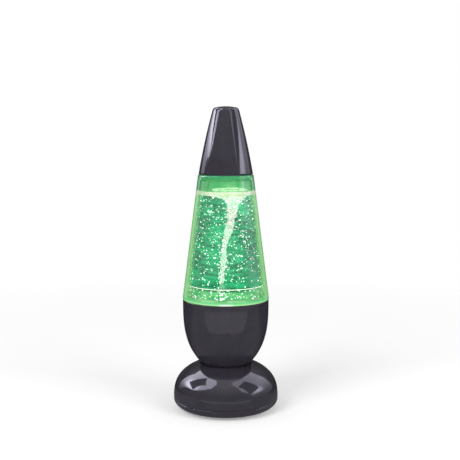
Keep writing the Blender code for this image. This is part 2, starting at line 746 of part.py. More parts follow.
def blade_outline(angle):
    """One swept blade seen from above: out along its leading side and back along the other."""
    inner = HUB_RADIUS - BLADE_THICKNESS / 2
    middle = []
    for i in range(BLADE_STEPS + 1):
        share = i / BLADE_STEPS
        reach = inner + (BLADE_TIP_RADIUS - inner) * share
        turn = angle - BLADE_SWEEP * share * share
        middle.append(Vector((reach * math.cos(turn), reach * math.sin(turn))))
    sides = ([], [])
    for i, point in enumerate(middle):
        along = middle[min(i + 1, BLADE_STEPS)] - middle[max(i - 1, 0)]
        across = Vector((-along.y, along.x)).normalized() * BLADE_THICKNESS / 2
        sides[0].append(point + across)
        sides[1].append(point - across)
    return sides[0] + sides[1][::-1]


def flat_outline(name, outline, low_z, high_z):
    """An upright prism over a flat outline."""
    curve = bpy.data.curves.new(name, "CURVE")
    curve.dimensions = "2D"
    curve.fill_mode = "BOTH"
    curve.extrude = (high_z - low_z) / 2
    spline = curve.splines.new("POLY")
    spline.points.add(len(outline) - 1)
    for point, place in zip(spline.points, outline):
        point.co = (place[0], place[1], 0, 1)
    spline.use_cyclic_u = True
    thing = meshed(name, curve)
    thing.location = (0, 0, (low_z + high_z) / 2)
    return thing


def make_impeller(looks, axle):
    """The stirrer: a disc with swept blades on top and two magnets let into its underside."""
    bore = PIN_RADIUS + PIN_CLEARANCE
    profile = [
        (bore, HUB_TOP_Z),
        (HUB_RADIUS, HUB_TOP_Z),
        (HUB_RADIUS, IMPELLER_TOP_Z),
        (IMPELLER_RADIUS, IMPELLER_TOP_Z),
        (IMPELLER_RADIUS, IMPELLER_Z),
        (bore, IMPELLER_Z),
    ]
    impeller = turned("impeller", profile, looks["white_plastic"], closed=True,
                      segments=MEDIUM_SEGMENTS)
    for i in range(BLADE_COUNT):
        outline = blade_outline(math.tau * (i + 1 / 2) / BLADE_COUNT)
        join(impeller, flat_outline(f"blade_{i + 1}", outline, IMPELLER_TOP_Z - BLADE_SINK,
                                    BLADE_TOP_Z))
    pocket = MAGNET_RADIUS + SEAT_GAP
    pieces = [impeller]
    for i, (x, y, _) in enumerate(around(2, MAGNET_RING_RADIUS)):
        top = IMPELLER_Z + IMPELLER_MAGNET_HEIGHT
        cut(impeller, rod(f"impeller_pocket_{i + 1}", pocket, (x, y, IMPELLER_Z - CUT_OVERRUN),
                          (x, y, top + SEAT_GAP)))
        pieces.append(rod(f"impeller_magnet_{i + 1}", MAGNET_RADIUS, (x, y, IMPELLER_Z),
                          (x, y, top), looks["magnet"]))
    hold(axle, *pieces)
    pin_low = GLOBE_FLOOR_Z - PIN_SOCKET_DEPTH + SEAT_GAP
    rod("impeller_pin", PIN_RADIUS, (0, 0, pin_low), (0, 0, HUB_TOP_Z + PIN_TOP_PROUD),
        looks["steel"])


def make_impeller_guard(looks):
    """The clear cage over the impeller, as wide as the globe: radial slots in its top, windows
    round its wall, and an eye in the middle that the vortex stands over."""
    foot_z = GLOBE_FLOOR_Z + SEAT_GAP
    inner = GUARD_RADIUS - GUARD_WALL
    profile = [
        (GUARD_EYE_RADIUS, GUARD_TOP_Z),
        (GUARD_RADIUS, GUARD_TOP_Z),
        (GUARD_RADIUS, foot_z),
        (inner, foot_z),
        (inner, GUARD_CEILING_Z),
        (GUARD_EYE_RADIUS, GUARD_CEILING_Z),
    ]
    guard = turned("impeller_guard", profile, looks["clear_plastic"], closed=True)
    slot_start = GUARD_EYE_RADIUS + GUARD_SLOT_MARGIN
    slot_end = inner - GUARD_SLOT_MARGIN
    for i, (_, _, angle) in enumerate(around(GUARD_SLOT_COUNT, GUARD_RADIUS)):
        slot = box(f"guard_slot_{i + 1}",
                   (slot_start, -GUARD_SLOT_WIDTH / 2, GUARD_CEILING_Z - CUT_OVERRUN),
                   (slot_end, GUARD_SLOT_WIDTH / 2, GUARD_TOP_Z + CUT_OVERRUN))
        slot.rotation_euler.z = angle
        cut(guard, slot)
    half_step = math.pi / GUARD_WINDOW_COUNT
    for i, (_, _, angle) in enumerate(around(GUARD_WINDOW_COUNT, GUARD_RADIUS, half_step)):
        window = box(f"guard_window_{i + 1}",
                     (inner - CUT_OVERRUN, -GUARD_WINDOW_WIDTH / 2, foot_z + GUARD_WINDOW_MARGIN),
                     (GUARD_RADIUS + CUT_OVERRUN, GUARD_WINDOW_WIDTH / 2,
                      GUARD_CEILING_Z - GUARD_WINDOW_MARGIN / 2))
        window.rotation_euler.z = angle
        cut(guard, window)


# The drive and the lights inside the cup

def make_rotor(looks, axle):
    """The motor's shaft with the magnet carrier on it."""
    bore = SHAFT_RADIUS + SHAFT_CLEARANCE
    bore_top = SHAFT_TOP_Z + SHAFT_CLEARANCE
    hub_low = CARRIER_Z - CARRIER_HUB_LENGTH
    profile = [
        (0, CARRIER_TOP_Z),
        (CARRIER_RADIUS, CARRIER_TOP_Z),
        (CARRIER_RADIUS, CARRIER_Z),
        (CARRIER_HUB_RADIUS, CARRIER_Z),
        (CARRIER_HUB_RADIUS, hub_low),
        (bore, hub_low),
        (bore, bore_top),
        (0, bore_top),
    ]
    carrier = turned("magnet_carrier", profile, looks["dark_plastic"], segments=MEDIUM_SEGMENTS)
    pieces = [carrier]
    for i, (x, y, _) in enumerate(around(2, MAGNET_RING_RADIUS)):
        low = CARRIER_TOP_Z - DRIVE_MAGNET_HEIGHT
        cut(carrier, rod(f"carrier_pocket_{i + 1}", MAGNET_RADIUS + SEAT_GAP,
                         (x, y, low - SEAT_GAP), (x, y, CARRIER_TOP_Z + CUT_OVERRUN)))
        pieces.append(rod(f"drive_magnet_{i + 1}", MAGNET_RADIUS, (x, y, low),
                          (x, y, CARRIER_TOP_Z), looks["magnet"]))
    pieces.append(rod("motor_shaft", SHAFT_RADIUS, (0, 0, MOTOR_TOP_Z - SHAFT_DEPTH),
                      (0, 0, SHAFT_TOP_Z), looks["steel"]))
    hold(axle, *pieces)


def flat_sides(target, name, low_z, high_z):
    """Cuts the two flats of the motor's can and end cap."""
    for side in (-1, 1):
        near = side * MOTOR_FLAT_WIDTH / 2
        far = side * (MOTOR_RADIUS + CUT_OVERRUN)
        cut(target, box(f"{name}_flat_{side + 2}",
                        (-MOTOR_RADIUS - CUT_OVERRUN, min(near, far), low_z - CUT_OVERRUN),
                        (MOTOR_RADIUS + CUT_OVERRUN, max(near, far), high_z + SEAT_GAP / 2)))


def make_motor(looks):
    """A small flat-sided motor: drawn can with its bearing boss, and moulded end cap."""
    bore = SHAFT_RADIUS + SHAFT_CLEARANCE
    bore_low = MOTOR_TOP_Z - SHAFT_DEPTH - SHAFT_CLEARANCE
    profile = [
        (bore, MOTOR_TOP_Z + MOTOR_BOSS_HEIGHT),
        (MOTOR_BOSS_RADIUS, MOTOR_TOP_Z + MOTOR_BOSS_HEIGHT),
        (MOTOR_BOSS_RADIUS, MOTOR_TOP_Z),
        (MOTOR_RADIUS - MOTOR_EDGE, MOTOR_TOP_Z),
        (MOTOR_RADIUS, MOTOR_TOP_Z - MOTOR_EDGE),
        (MOTOR_RADIUS, MOTOR_BOTTOM_Z),
        (0, MOTOR_BOTTOM_Z),
        (0, bore_low),
        (bore, bore_low),
    ]
    can = turned("motor_can", profile, looks["steel"], closed=True, segments=MEDIUM_SEGMENTS)
    flat_sides(can, "motor_can", MOTOR_BOTTOM_Z, MOTOR_TOP_Z)
    for side in (-1, 1):
        hole = SMALL_SCREW["shank"] + SCREW_CLEARANCE
        place = side * MOTOR_SCREW_REACH
        low = MOTOR_TOP_Z - MOTOR_SCREW_LENGTH
        cut(can, rod(f"motor_tap_{side + 2}", hole, (place, 0, low),
                     (place, 0, MOTOR_TOP_Z + CUT_OVERRUN), segments=SCREW_SEGMENTS))
        vent_y = side * MOTOR_FLAT_WIDTH / 2
        cut(can, box(f"motor_vent_{side + 2}",
                     (-MOTOR_VENT_WIDTH / 2, vent_y - MOTOR_EDGE, MOTOR_BOTTOM_Z + MOTOR_EDGE),
                     (MOTOR_VENT_WIDTH / 2, vent_y + MOTOR_EDGE,
                      MOTOR_BOTTOM_Z + MOTOR_EDGE + MOTOR_VENT_HEIGHT)))
    low_z = MOTOR_CAP_Z - MOTOR_CAP_THICKNESS
    profile = [
        (0, MOTOR_CAP_Z),
        (MOTOR_RADIUS, MOTOR_CAP_Z),
        (MOTOR_RADIUS, low_z + MOTOR_EDGE),
        (MOTOR_RADIUS - MOTOR_EDGE, low_z),
        (0, low_z),
    ]
    end_cap = turned("motor_end_cap", profile, looks["white_plastic"], segments=MEDIUM_SEGMENTS)
    flat_sides(end_cap, "motor_end_cap", low_z, MOTOR_CAP_Z + CUT_OVERRUN)
    for side in (-1, 1):
        x = side * TERMINAL_REACH
        join(end_cap, box(f"terminal_{side + 2}",
                          (x - TERMINAL_THICKNESS / 2, -TERMINAL_WIDTH / 2,
                           low_z - TERMINAL_LENGTH),
                          (x + TERMINAL_THICKNESS / 2, TERMINAL_WIDTH / 2, low_z + MOTOR_EDGE)))


def make_bracket(looks):
    """The round plate on the cup's posts, with the pegs that the light board is staked to."""
    profile = [
        (MOTOR_BOSS_RADIUS + SEAT_GAP, BRACKET_TOP_Z),
        (BRACKET_RADIUS, BRACKET_TOP_Z),
        (BRACKET_RADIUS, BRACKET_Z),
        (MOTOR_BOSS_RADIUS + SEAT_GAP, BRACKET_Z),
    ]
    bracket = turned("motor_bracket", profile, looks["dark_plastic"], closed=True,
                     segments=MEDIUM_SEGMENTS)
    sink = BRACKET_THICKNESS / 2
    for i, (x, y, _) in enumerate(around(3, BOARD_PEG_REACH, math.pi / 6)):
        shoulder = BOARD_Z - SEAT_GAP
        join(bracket, rod(f"peg_{i + 1}", BOARD_PEG_RADIUS, (x, y, BRACKET_TOP_Z - sink),
                          (x, y, shoulder), segments=SCREW_SEGMENTS))
        join(bracket, rod(f"peg_tip_{i + 1}", BOARD_PEG_TIP_RADIUS, (x, y, shoulder - sink),
                          (x, y, BOARD_TOP_Z + BOARD_PEG_TIP_PROUD), segments=SCREW_SEGMENTS))
    hole = PLASTIC_SCREW["shank"] + SCREW_CLEARANCE
    for i, (x, y, _) in enumerate(bracket_posts()):
        cut(bracket, rod(f"bracket_hole_{i + 1}", hole, (x, y, BRACKET_Z - CUT_OVERRUN),
                         (x, y, BRACKET_TOP_Z + CUT_OVERRUN), segments=SCREW_SEGMENTS))
        screw(f"bracket_screw_{i + 1}", PLASTIC_SCREW, BRACKET_SCREW_LENGTH,
              (x, y, BRACKET_TOP_Z + SEAT_GAP), (0, 0, 1), looks)
    hole = SMALL_SCREW["shank"] + SCREW_CLEARANCE
    for side in (-1, 1):
        x = side * MOTOR_SCREW_REACH
        cut(bracket, rod(f"motor_hole_{side + 2}", hole, (x, 0, BRACKET_Z - CUT_OVERRUN),
                         (x, 0, BRACKET_TOP_Z + CUT_OVERRUN), segments=SCREW_SEGMENTS))
        screw(f"motor_screw_{(side + 3) // 2}", SMALL_SCREW, MOTOR_SCREW_LENGTH,
              (x, 0, BRACKET_TOP_Z + SEAT_GAP), (0, 0, 1), looks)
    x, y = board_lead_place()
    cut(bracket, rod("board_lead_hole", 2 * LEAD_RADIUS, (x, y, BRACKET_Z - CUT_OVERRUN),
                     (x, y, BRACKET_TOP_Z + CUT_OVERRUN), segments=SCREW_SEGMENTS))


def bracket_posts():
    return around(BRACKET_POST_COUNT, BRACKET_POST_REACH, math.pi / 2)


def board_lead_place():
    return 0, -(MOTOR_RADIUS + BOARD_OUTER_RADIUS) / 3 - LEAD_RADIUS


def make_lights(looks):
    """The ring board with four round lights."""
    profile = [
        (BOARD_INNER_RADIUS, BOARD_TOP_Z),
        (BOARD_OUTER_RADIUS, BOARD_TOP_Z),
        (BOARD_OUTER_RADIUS, BOARD_Z),
        (BOARD_INNER_RADIUS, BOARD_Z),
    ]
    board = turned("led_board", profile, looks["board"], closed=True)
    for i, (x, y, _) in enumerate(around(3, BOARD_PEG_REACH, math.pi / 6)):
        cut(board, rod(f"board_hole_{i + 1}", BOARD_PEG_TIP_RADIUS + SEAT_GAP,
                       (x, y, BOARD_Z - CUT_OVERRUN), (x, y, BOARD_TOP_Z + CUT_OVERRUN),
                       segments=SCREW_SEGMENTS))
    for i, (x, y, _) in enumerate(bracket_posts()):
        room = PLASTIC_SCREW["head"] + SEAT_GAP
        cut(board, rod(f"board_notch_{i + 1}", room, (x, y, BOARD_Z - CUT_OVERRUN),
                       (x, y, BOARD_TOP_Z + CUT_OVERRUN), segments=SMALL_SEGMENTS))
    for i, (x, y, _) in enumerate(around(LED_COUNT, LED_REACH, math.pi / LED_COUNT)):
        barrel = LED_HEIGHT - LED_RADIUS
        profile = [(0, LED_HEIGHT)]
        for step in range(1, LED_DOME_STEPS + 1):
            angle = math.pi / 2 * (1 - step / LED_DOME_STEPS)
            profile.append((LED_RADIUS * math.cos(angle), barrel + LED_RADIUS * math.sin(angle)))
        profile += [
            (LED_RADIUS, LED_FLANGE_HEIGHT),
            (LED_FLANGE_RADIUS, LED_FLANGE_HEIGHT),
            (LED_FLANGE_RADIUS, 0),
            (0, 0),
        ]
        turned(f"led_{i + 1}", profile, looks["led"], segments=SCREW_SEGMENTS,
               location=(x, y, BOARD_TOP_Z + SEAT_GAP))


def screw(name, kind, length, place, direction, looks):
    """A pan-head screw: its shank runs against the direction that its head faces."""
    head, height, shank = kind["head"], kind["head_height"], kind["shank"]
    profile = [
        (0, height),
        (head * 2 / 3, height),
        (head, height / 2),
        (head, 0),
        (shank, 0),
        (shank, shank - length),
        (0, -length),
    ]
    turn = Vector(direction).to_track_quat("Z", "Y").to_euler()
    return turned(name, profile, looks["steel"], segments=SCREW_SEGMENTS, location=place,
                  rotation=turn)


# The cup and the foot

def make_cup(looks):
    """The egg-shaped cup: three tall posts for the bracket, and bosses over the neck screws."""
    outer = cup_curve(0, NECK_Z, CUP_STEPS)
    profile = [(0, RIM_Z)] + outer + [(CUP_NECK_RADIUS, CUP_BOTTOM_Z), (0, CUP_BOTTOM_Z)]
    cup = turned("body_shell", profile, looks["black_plastic"])
    inner = cup_curve(CUP_WALL, CUP_FLOOR_Z, INNER_STEPS)
    room = turned("cup_room", [(0, RIM_Z + CUT_OVERRUN), (inner[0][0], RIM_Z + CUT_OVERRUN)]
                  + inner + [(0, CUP_FLOOR_Z)])
    pilot = PLASTIC_SCREW["shank"] + SCREW_CLEARANCE
    pilots = []
    for i, (x, y, _) in enumerate(bracket_posts()):
        top = BRACKET_Z - SEAT_GAP
        cut(room, rod(f"bracket_post_{i + 1}", BRACKET_POST_RADIUS,
                      (x, y, CUP_FLOOR_Z - CUT_OVERRUN), (x, y, top), segments=POST_SEGMENTS))
        pilots.append(rod(f"bracket_pilot_{i + 1}", pilot, (x, y, top - BRACKET_SCREW_LENGTH),
                          (x, y, top + CUT_OVERRUN), segments=SCREW_SEGMENTS))
    for i, (x, y, _) in enumerate(neck_screws()):
        cut(room, rod(f"neck_boss_{i + 1}", NECK_BOSS_RADIUS, (x, y, CUP_FLOOR_Z - CUT_OVERRUN),
                      (x, y, CUP_FLOOR_Z + NECK_BOSS_HEIGHT), segments=POST_SEGMENTS))
        pilots.append(rod(f"neck_pilot_{i + 1}", pilot, (x, y, CUP_BOTTOM_Z - CUT_OVERRUN),
                          (x, y, SOCKET_UNDERSIDE_Z + NECK_SCREW_LENGTH), segments=SCREW_SEGMENTS))
    cut(cup, room)
    cut(cup, rod("cup_wire_hole", WIRE_HOLE_RADIUS, (0, 0, CUP_BOTTOM_Z - CUT_OVERRUN),
                 (0, 0, CUP_FLOOR_Z + CUT_OVERRUN)), *pilots)


def neck_screws():
    return around(NECK_SCREW_COUNT, NECK_BOSS_REACH, -math.pi / 2)


def make_foot(looks):
    """The domed foot: a socket for the cup on top, screw posts and the switch's window inside."""
    end_share = egg_share(SOCKET_RADIUS / BASE_RADIUS, DOME_RISE_EXPONENT, DOME_ROUND_EXPONENT)
    outer = dome_curve(0, end_share, DOME_STEPS)[::-1]
    outer[-1] = (BASE_RADIUS, WIDEST_Z + SEAT_GAP / 2)
    profile = ([(0, SOCKET_FLOOR_Z), (SOCKET_RADIUS, SOCKET_FLOOR_Z)] + outer
               + [(0, WIDEST_Z + SEAT_GAP / 2)])
    foot = turned("base_shell", profile, looks["black_plastic"])
    ceiling_share = (SOCKET_UNDERSIDE_Z - WIDEST_Z) / (DOME_HEIGHT - BASE_WALL)
    inner = dome_curve(BASE_WALL, ceiling_share, INNER_STEPS)[::-1]
    room = turned("foot_room", [(0, SOCKET_UNDERSIDE_Z)] + inner
                  + [(BASE_RADIUS - BASE_WALL, WIDEST_Z - CUT_OVERRUN),
                     (0, WIDEST_Z - CUT_OVERRUN)])
    pilot = PLASTIC_SCREW["shank"] + SCREW_CLEARANCE
    pilots = []
    for i, (x, y) in enumerate(PLATE_SCREW_PLACES):
        low = UNDERSIDE_Z + PLATE_TUBE_TOP + SEAT_GAP
        cut(room, rod(f"foot_post_{i + 1}", PLATE_TUBE_RADIUS - SEAT_GAP, (x, y, low),
                      (x, y, SOCKET_UNDERSIDE_Z + CUT_OVERRUN), segments=POST_SEGMENTS))
        pilots.append(rod(f"foot_pilot_{i + 1}", pilot, (x, y, low - CUT_OVERRUN),
                          (x, y, low + BASE_SCREW_LENGTH), segments=SCREW_SEGMENTS))
    post_y = SWITCH_FACE_Y + SEAT_GAP
    for side in (-1, 1):
        x = side * SWITCH_POST_REACH
        cut(room, rod(f"switch_post_{side + 2}", SWITCH_POST_RADIUS, (x, post_y, SWITCH_Z),
                      (x, BASE_RADIUS, SWITCH_Z)))
        pilots.append(rod(f"switch_pilot_{side + 2}", SMALL_SCREW["shank"] + SCREW_CLEARANCE,
                          (x, post_y - CUT_OVERRUN, SWITCH_Z),
                          (x, post_y + SWITCH_PILOT_DEPTH, SWITCH_Z), segments=SCREW_SEGMENTS))
    cut(foot, room)
    pad_y = BASE_RADIUS - SWITCH_PAD_INSET
    window = box("switch_window",
                 (-SWITCH_WINDOW_WIDTH / 2, pad_y - SWITCH_SETBACK,
                  SWITCH_Z - SWITCH_WINDOW_HEIGHT / 2),
                 (SWITCH_WINDOW_WIDTH / 2, BASE_RADIUS + CUT_OVERRUN,
                  SWITCH_Z + SWITCH_WINDOW_HEIGHT / 2))
    pad = box("switch_pad",
              (-SWITCH_PAD_WIDTH / 2, pad_y, SWITCH_Z - SWITCH_PAD_HEIGHT / 2),
              (SWITCH_PAD_WIDTH / 2, BASE_RADIUS + CUT_OVERRUN, SWITCH_Z + SWITCH_PAD_HEIGHT / 2))
    wire_hole = rod("foot_wire_hole", WIRE_HOLE_RADIUS, (0, 0, SOCKET_UNDERSIDE_Z - CUT_OVERRUN),
                    (0, 0, SOCKET_FLOOR_Z + CUT_OVERRUN))
    hole = PLASTIC_SCREW["shank"] + SCREW_CLEARANCE
    for i, (x, y, _) in enumerate(neck_screws()):
        cut(foot, rod(f"neck_hole_{i + 1}", hole, (x, y, SOCKET_UNDERSIDE_Z - CUT_OVERRUN),
                      (x, y, SOCKET_FLOOR_Z + CUT_OVERRUN), segments=SCREW_SEGMENTS))
        screw(f"neck_screw_{i + 1}", PLASTIC_SCREW, NECK_SCREW_LENGTH,
              (x, y, SOCKET_UNDERSIDE_Z - SEAT_GAP), (0, 0, -1), looks)
    cut(foot, pad, window, wire_hole, *pilots)


def ear_outline(radius):
    """A round-ended ear from inside the door's edge to its screw."""
    root_y = DOOR_HALF_WIDTH - CUT_OVERRUN
    outline = [(radius, root_y)]
    for i in range(SCREW_SEGMENTS + 1):
        angle = math.pi * i / SCREW_SEGMENTS
        outline.append((radius * math.cos(angle), DOOR_EAR_REACH + radius * math.sin(angle)))
    return outline + [(-radius, root_y)]


def make_base_plate(looks):
    """The dished underside: screw tubes, the battery compartment, the door's opening and the
    recess and boss for the door's ear."""
    rim_z = WIDEST_Z - SEAT_GAP / 2
    outer = dish_curve(EDGE_STEPS + 2)
    outer[0] = (BASE_RADIUS, rim_z)
    lip_outer = BASE_RADIUS - BASE_WALL - SEAT_GAP
    lip_inner = lip_outer - PLATE_LIP_WALL
    lip_z = WIDEST_Z + PLATE_LIP_RISE
    inner_low = BASE_FLAT_RADIUS + (lip_inner - BASE_FLAT_RADIUS) / 2
    profile = ([(0, PLATE_TOP_Z), (inner_low, PLATE_TOP_Z),
                (lip_inner, PLATE_TOP_Z + BASE_EDGE_HEIGHT / 2), (lip_inner, lip_z),
                (lip_outer, lip_z), (lip_outer, rim_z)] + outer + [(0, UNDERSIDE_Z)])
    plate = turned("base_plate", profile, looks["black_plastic"])
    wall_x = BAY_HALF_LENGTH + BAY_WALL
    wall_y = BAY_HALF_WIDTH + BAY_WALL
    sink = PLATE_THICKNESS / 2
    join(plate, box("bay_block", (-wall_x, -wall_y, PLATE_TOP_Z - sink),
                    (wall_x, wall_y, BAY_TOP_Z)))
    join(plate, flat_outline("ear_boss", ear_outline(DOOR_EAR_RADIUS + SEAT_GAP + EAR_BOSS_WALL),
                             PLATE_TOP_Z - sink, UNDERSIDE_Z + EAR_BOSS_TOP))
    for i, (x, y) in enumerate(PLATE_SCREW_PLACES):
        join(plate, rod(f"plate_tube_{i + 1}", PLATE_TUBE_RADIUS, (x, y, PLATE_TOP_Z - sink),
                        (x, y, UNDERSIDE_Z + PLATE_TUBE_TOP)))
    bay = box("bay_room", (-BAY_HALF_LENGTH, -BAY_HALF_WIDTH, PLATE_TOP_Z),
              (BAY_HALF_LENGTH, BAY_HALF_WIDTH, BAY_CEILING_Z))
    for side in (-1, 1):
        y = side * CELL_PITCH / 2
        cut(bay, box(f"bay_rib_{side + 2}",
                     (-BAY_RIB_LENGTH / 2, y - BAY_RIB_WIDTH / 2, BAY_CEILING_Z - BAY_RIB_DEPTH),
                     (BAY_RIB_LENGTH / 2, y + BAY_RIB_WIDTH / 2, BAY_CEILING_Z + CUT_OVERRUN)))
    opening_x = DOOR_LENGTH / 2 + SEAT_GAP
    opening_y = DOOR_HALF_WIDTH + SEAT_GAP
    opening = box("door_opening", (-opening_x, -opening_y, UNDERSIDE_Z - CUT_OVERRUN),
                  (opening_x, opening_y, PLATE_TOP_Z + SEAT_GAP))
    recess = flat_outline("ear_recess", ear_outline(DOOR_EAR_RADIUS + SEAT_GAP),
                          UNDERSIDE_Z - CUT_OVERRUN, UNDERSIDE_Z + DOOR_EAR_THICKNESS + SEAT_GAP)
    pilot = PLASTIC_SCREW["shank"] + SCREW_CLEARANCE
    door_pilot = rod("door_pilot", pilot, (0, DOOR_EAR_REACH, UNDERSIDE_Z),
                     (0, DOOR_EAR_REACH, UNDERSIDE_Z + EAR_BOSS_TOP - SEAT_GAP),
                     segments=SCREW_SEGMENTS)
    cut(plate, bay, opening, recess, door_pilot)
    tongue_z = PLATE_TOP_Z + SEAT_GAP
    for side in (-1, 1):
        x = side * TONGUE_REACH
        room = TONGUE_WIDTH / 2 + SEAT_GAP
        cut(plate, box(f"tongue_slot_{side + 2}",
                       (x - room, -DOOR_HALF_WIDTH - TONGUE_LENGTH - SEAT_GAP, PLATE_TOP_Z),
                       (x + room, -DOOR_HALF_WIDTH + SEAT_GAP,
                        tongue_z + TONGUE_THICKNESS + TONGUE_SWING)))
        y = side * CELL_PITCH
        tab = CONTACT_TAB_WIDTH / 2 + SEAT_GAP
        near = side * (CONTACT_X - SEAT_GAP)
        far = side * (CONTACT_X + CONTACT_THICKNESS + SEAT_GAP)
        cut(plate, box(f"tab_slot_{side + 2}",
                       (min(near, far), y - tab, BAY_CEILING_Z - CUT_OVERRUN),
                       (max(near, far), y + tab, BAY_TOP_Z + CUT_OVERRUN)))
    for i, (x, y) in enumerate(PLATE_SCREW_PLACES):
        web_z = UNDERSIDE_Z + PLATE_TUBE_TOP - PLATE_TUBE_WEB
        hole = PLASTIC_SCREW["shank"] + SCREW_CLEARANCE
        cut(plate, rod(f"counterbore_{i + 1}", PLASTIC_SCREW["head"] + SCREW_CLEARANCE,
                       (x, y, UNDERSIDE_Z - CUT_OVERRUN), (x, y, web_z)))
        cut(plate, rod(f"plate_hole_{i + 1}", hole, (x, y, web_z - CUT_OVERRUN),
                       (x, y, UNDERSIDE_Z + PLATE_TUBE_TOP + CUT_OVERRUN),
                       segments=SCREW_SEGMENTS))
        screw(f"base_screw_{i + 1}", PLASTIC_SCREW, BASE_SCREW_LENGTH,
              (x, y, web_z - SEAT_GAP), (0, 0, -1), looks)


def make_battery_door(looks):
    """The battery door: two tongues under the plate at one edge, a screwed ear at the other."""
    hinge = axis_empty("door_hinge", (0, HINGE_Y, UNDERSIDE_Z))
    half = DOOR_LENGTH / 2
    door = box("battery_door", (-half, -DOOR_HALF_WIDTH, UNDERSIDE_Z),
               (half, DOOR_HALF_WIDTH, DOOR_TOP_Z), looks["black_plastic"], hinge.location)
    join(door, flat_outline("door_ear", ear_outline(DOOR_EAR_RADIUS), UNDERSIDE_Z,
                            UNDERSIDE_Z + DOOR_EAR_THICKNESS))
    tongue_z = PLATE_TOP_Z + SEAT_GAP
    for side in (-1, 1):
        x = side * TONGUE_REACH
        root = box(f"tongue_root_{side + 2}",
                   (x - TONGUE_WIDTH / 2 + SEAT_GAP, -DOOR_HALF_WIDTH + SEAT_GAP,
                    DOOR_TOP_Z - DOOR_THICKNESS / 2),
                   (x + TONGUE_WIDTH / 2 - SEAT_GAP, -DOOR_HALF_WIDTH + TONGUE_ROOT,
                    tongue_z + TONGUE_THICKNESS / 2))
        tongue = box(f"tongue_{side + 2}",
                     (x - TONGUE_WIDTH / 2, -DOOR_HALF_WIDTH - TONGUE_LENGTH, tongue_z),
                     (x + TONGUE_WIDTH / 2, -DOOR_HALF_WIDTH + TONGUE_ROOT + SEAT_GAP,
                      tongue_z + TONGUE_THICKNESS))
        join(door, root, tongue)
    for i in range(GRIP_COUNT):
        y = GRIP_REACH + (i - (GRIP_COUNT - 1) / 2) * GRIP_PITCH
        cut(door, box(f"grip_{i + 1}",
                      (-GRIP_LENGTH / 2, y - GRIP_WIDTH / 2, UNDERSIDE_Z - CUT_OVERRUN),
                      (GRIP_LENGTH / 2, y + GRIP_WIDTH / 2, UNDERSIDE_Z + GRIP_DEPTH)))
    web_z = UNDERSIDE_Z + DOOR_EAR_THICKNESS - DOOR_HEAD_WEB
    cut(door, rod("door_counterbore", PLASTIC_SCREW["head"] + SCREW_CLEARANCE,
                  (0, DOOR_EAR_REACH, UNDERSIDE_Z - CUT_OVERRUN), (0, DOOR_EAR_REACH, web_z)))
    cut(door, rod("door_hole", PLASTIC_SCREW["shank"] + SCREW_CLEARANCE,
                  (0, DOOR_EAR_REACH, web_z - CUT_OVERRUN),
                  (0, DOOR_EAR_REACH, UNDERSIDE_Z + DOOR_EAR_THICKNESS + CUT_OVERRUN),
                  segments=SCREW_SEGMENTS))
    door_screw = screw("door_screw", PLASTIC_SCREW, DOOR_SCREW_LENGTH,
                       (0, DOOR_EAR_REACH, web_z - SEAT_GAP), (0, 0, -1), looks)
    hold(hinge, door, door_screw)


# The cells, their contacts and the switch

def make_cells(looks):
    """Three cells side by side, turned end for end so that they are in series."""
    half = CELL_LENGTH / 2
    profile = [
        (0, half),
        (CELL_NUB_RADIUS, half),
        (CELL_NUB_RADIUS, half - CELL_NUB_LENGTH),
        (CELL_RADIUS - CELL_EDGE, half - CELL_NUB_LENGTH),
        (CELL_RADIUS, half - CELL_NUB_LENGTH - CELL_EDGE),
        (CELL_RADIUS, CELL_EDGE - half),
        (CELL_RADIUS - CELL_EDGE, -half),
        (0, -half),
    ]
    for i in range(CELL_COUNT):
        toward = 1 if i % 2 == 0 else -1
        turned(f"battery_{i + 1}", profile, looks["cell_sleeve"], segments=SMALL_SEGMENTS,
               location=(0, cell_y(i), CELL_Z), rotation=(0, toward * math.pi / 2, 0))


def cell_y(i):
    return (i - (CELL_COUNT - 1) / 2) * CELL_PITCH


def make_contacts(looks):
    """Sprung and plain contacts in the two ends of the compartment."""
    names = ("contact_plate_negative", "contact_bridge_right", "contact_bridge_left",
             "contact_plate_positive")
    spans = ((0, 0, -1), (0, 1, 1), (1, 2, -1), (2, 2, 1))
    for name, (first, last, side) in zip(names, spans):
        near = side * CONTACT_X
        far = side * (CONTACT_X + CONTACT_THICKNESS)
        low_y = cell_y(first) - CONTACT_WIDTH / 2
        high_y = cell_y(last) + CONTACT_WIDTH / 2
        plate = box(name, (min(near, far), low_y, CELL_Z - CONTACT_HEIGHT / 2),
                    (max(near, far), high_y, CELL_Z + CONTACT_HEIGHT / 2), looks["steel"])
        if first == last:
            y = cell_y(first)
            edge = CONTACT_THICKNESS / 4
            low, high = min(near, far) + edge, max(near, far) - edge
            join(plate, box(name + "_tab",
                            (low, y - CONTACT_TAB_WIDTH / 2, CELL_Z),
                            (high, y + CONTACT_TAB_WIDTH / 2, BAY_TOP_Z + CONTACT_TAB_PROUD)))
        for i in range(first, last + 1):
            faces_positive = (side > 0) == (i % 2 == 0)
            if faces_positive:
                tip = side * (CELL_LENGTH / 2 + SEAT_GAP)
                join(plate, rod(name + "_nub", CONTACT_NUB_RADIUS,
                                (near + side * CONTACT_THICKNESS / 2, cell_y(i), CELL_Z),
                                (tip, cell_y(i), CELL_Z), segments=SCREW_SEGMENTS))
            else:
                make_spring(i, side, looks)


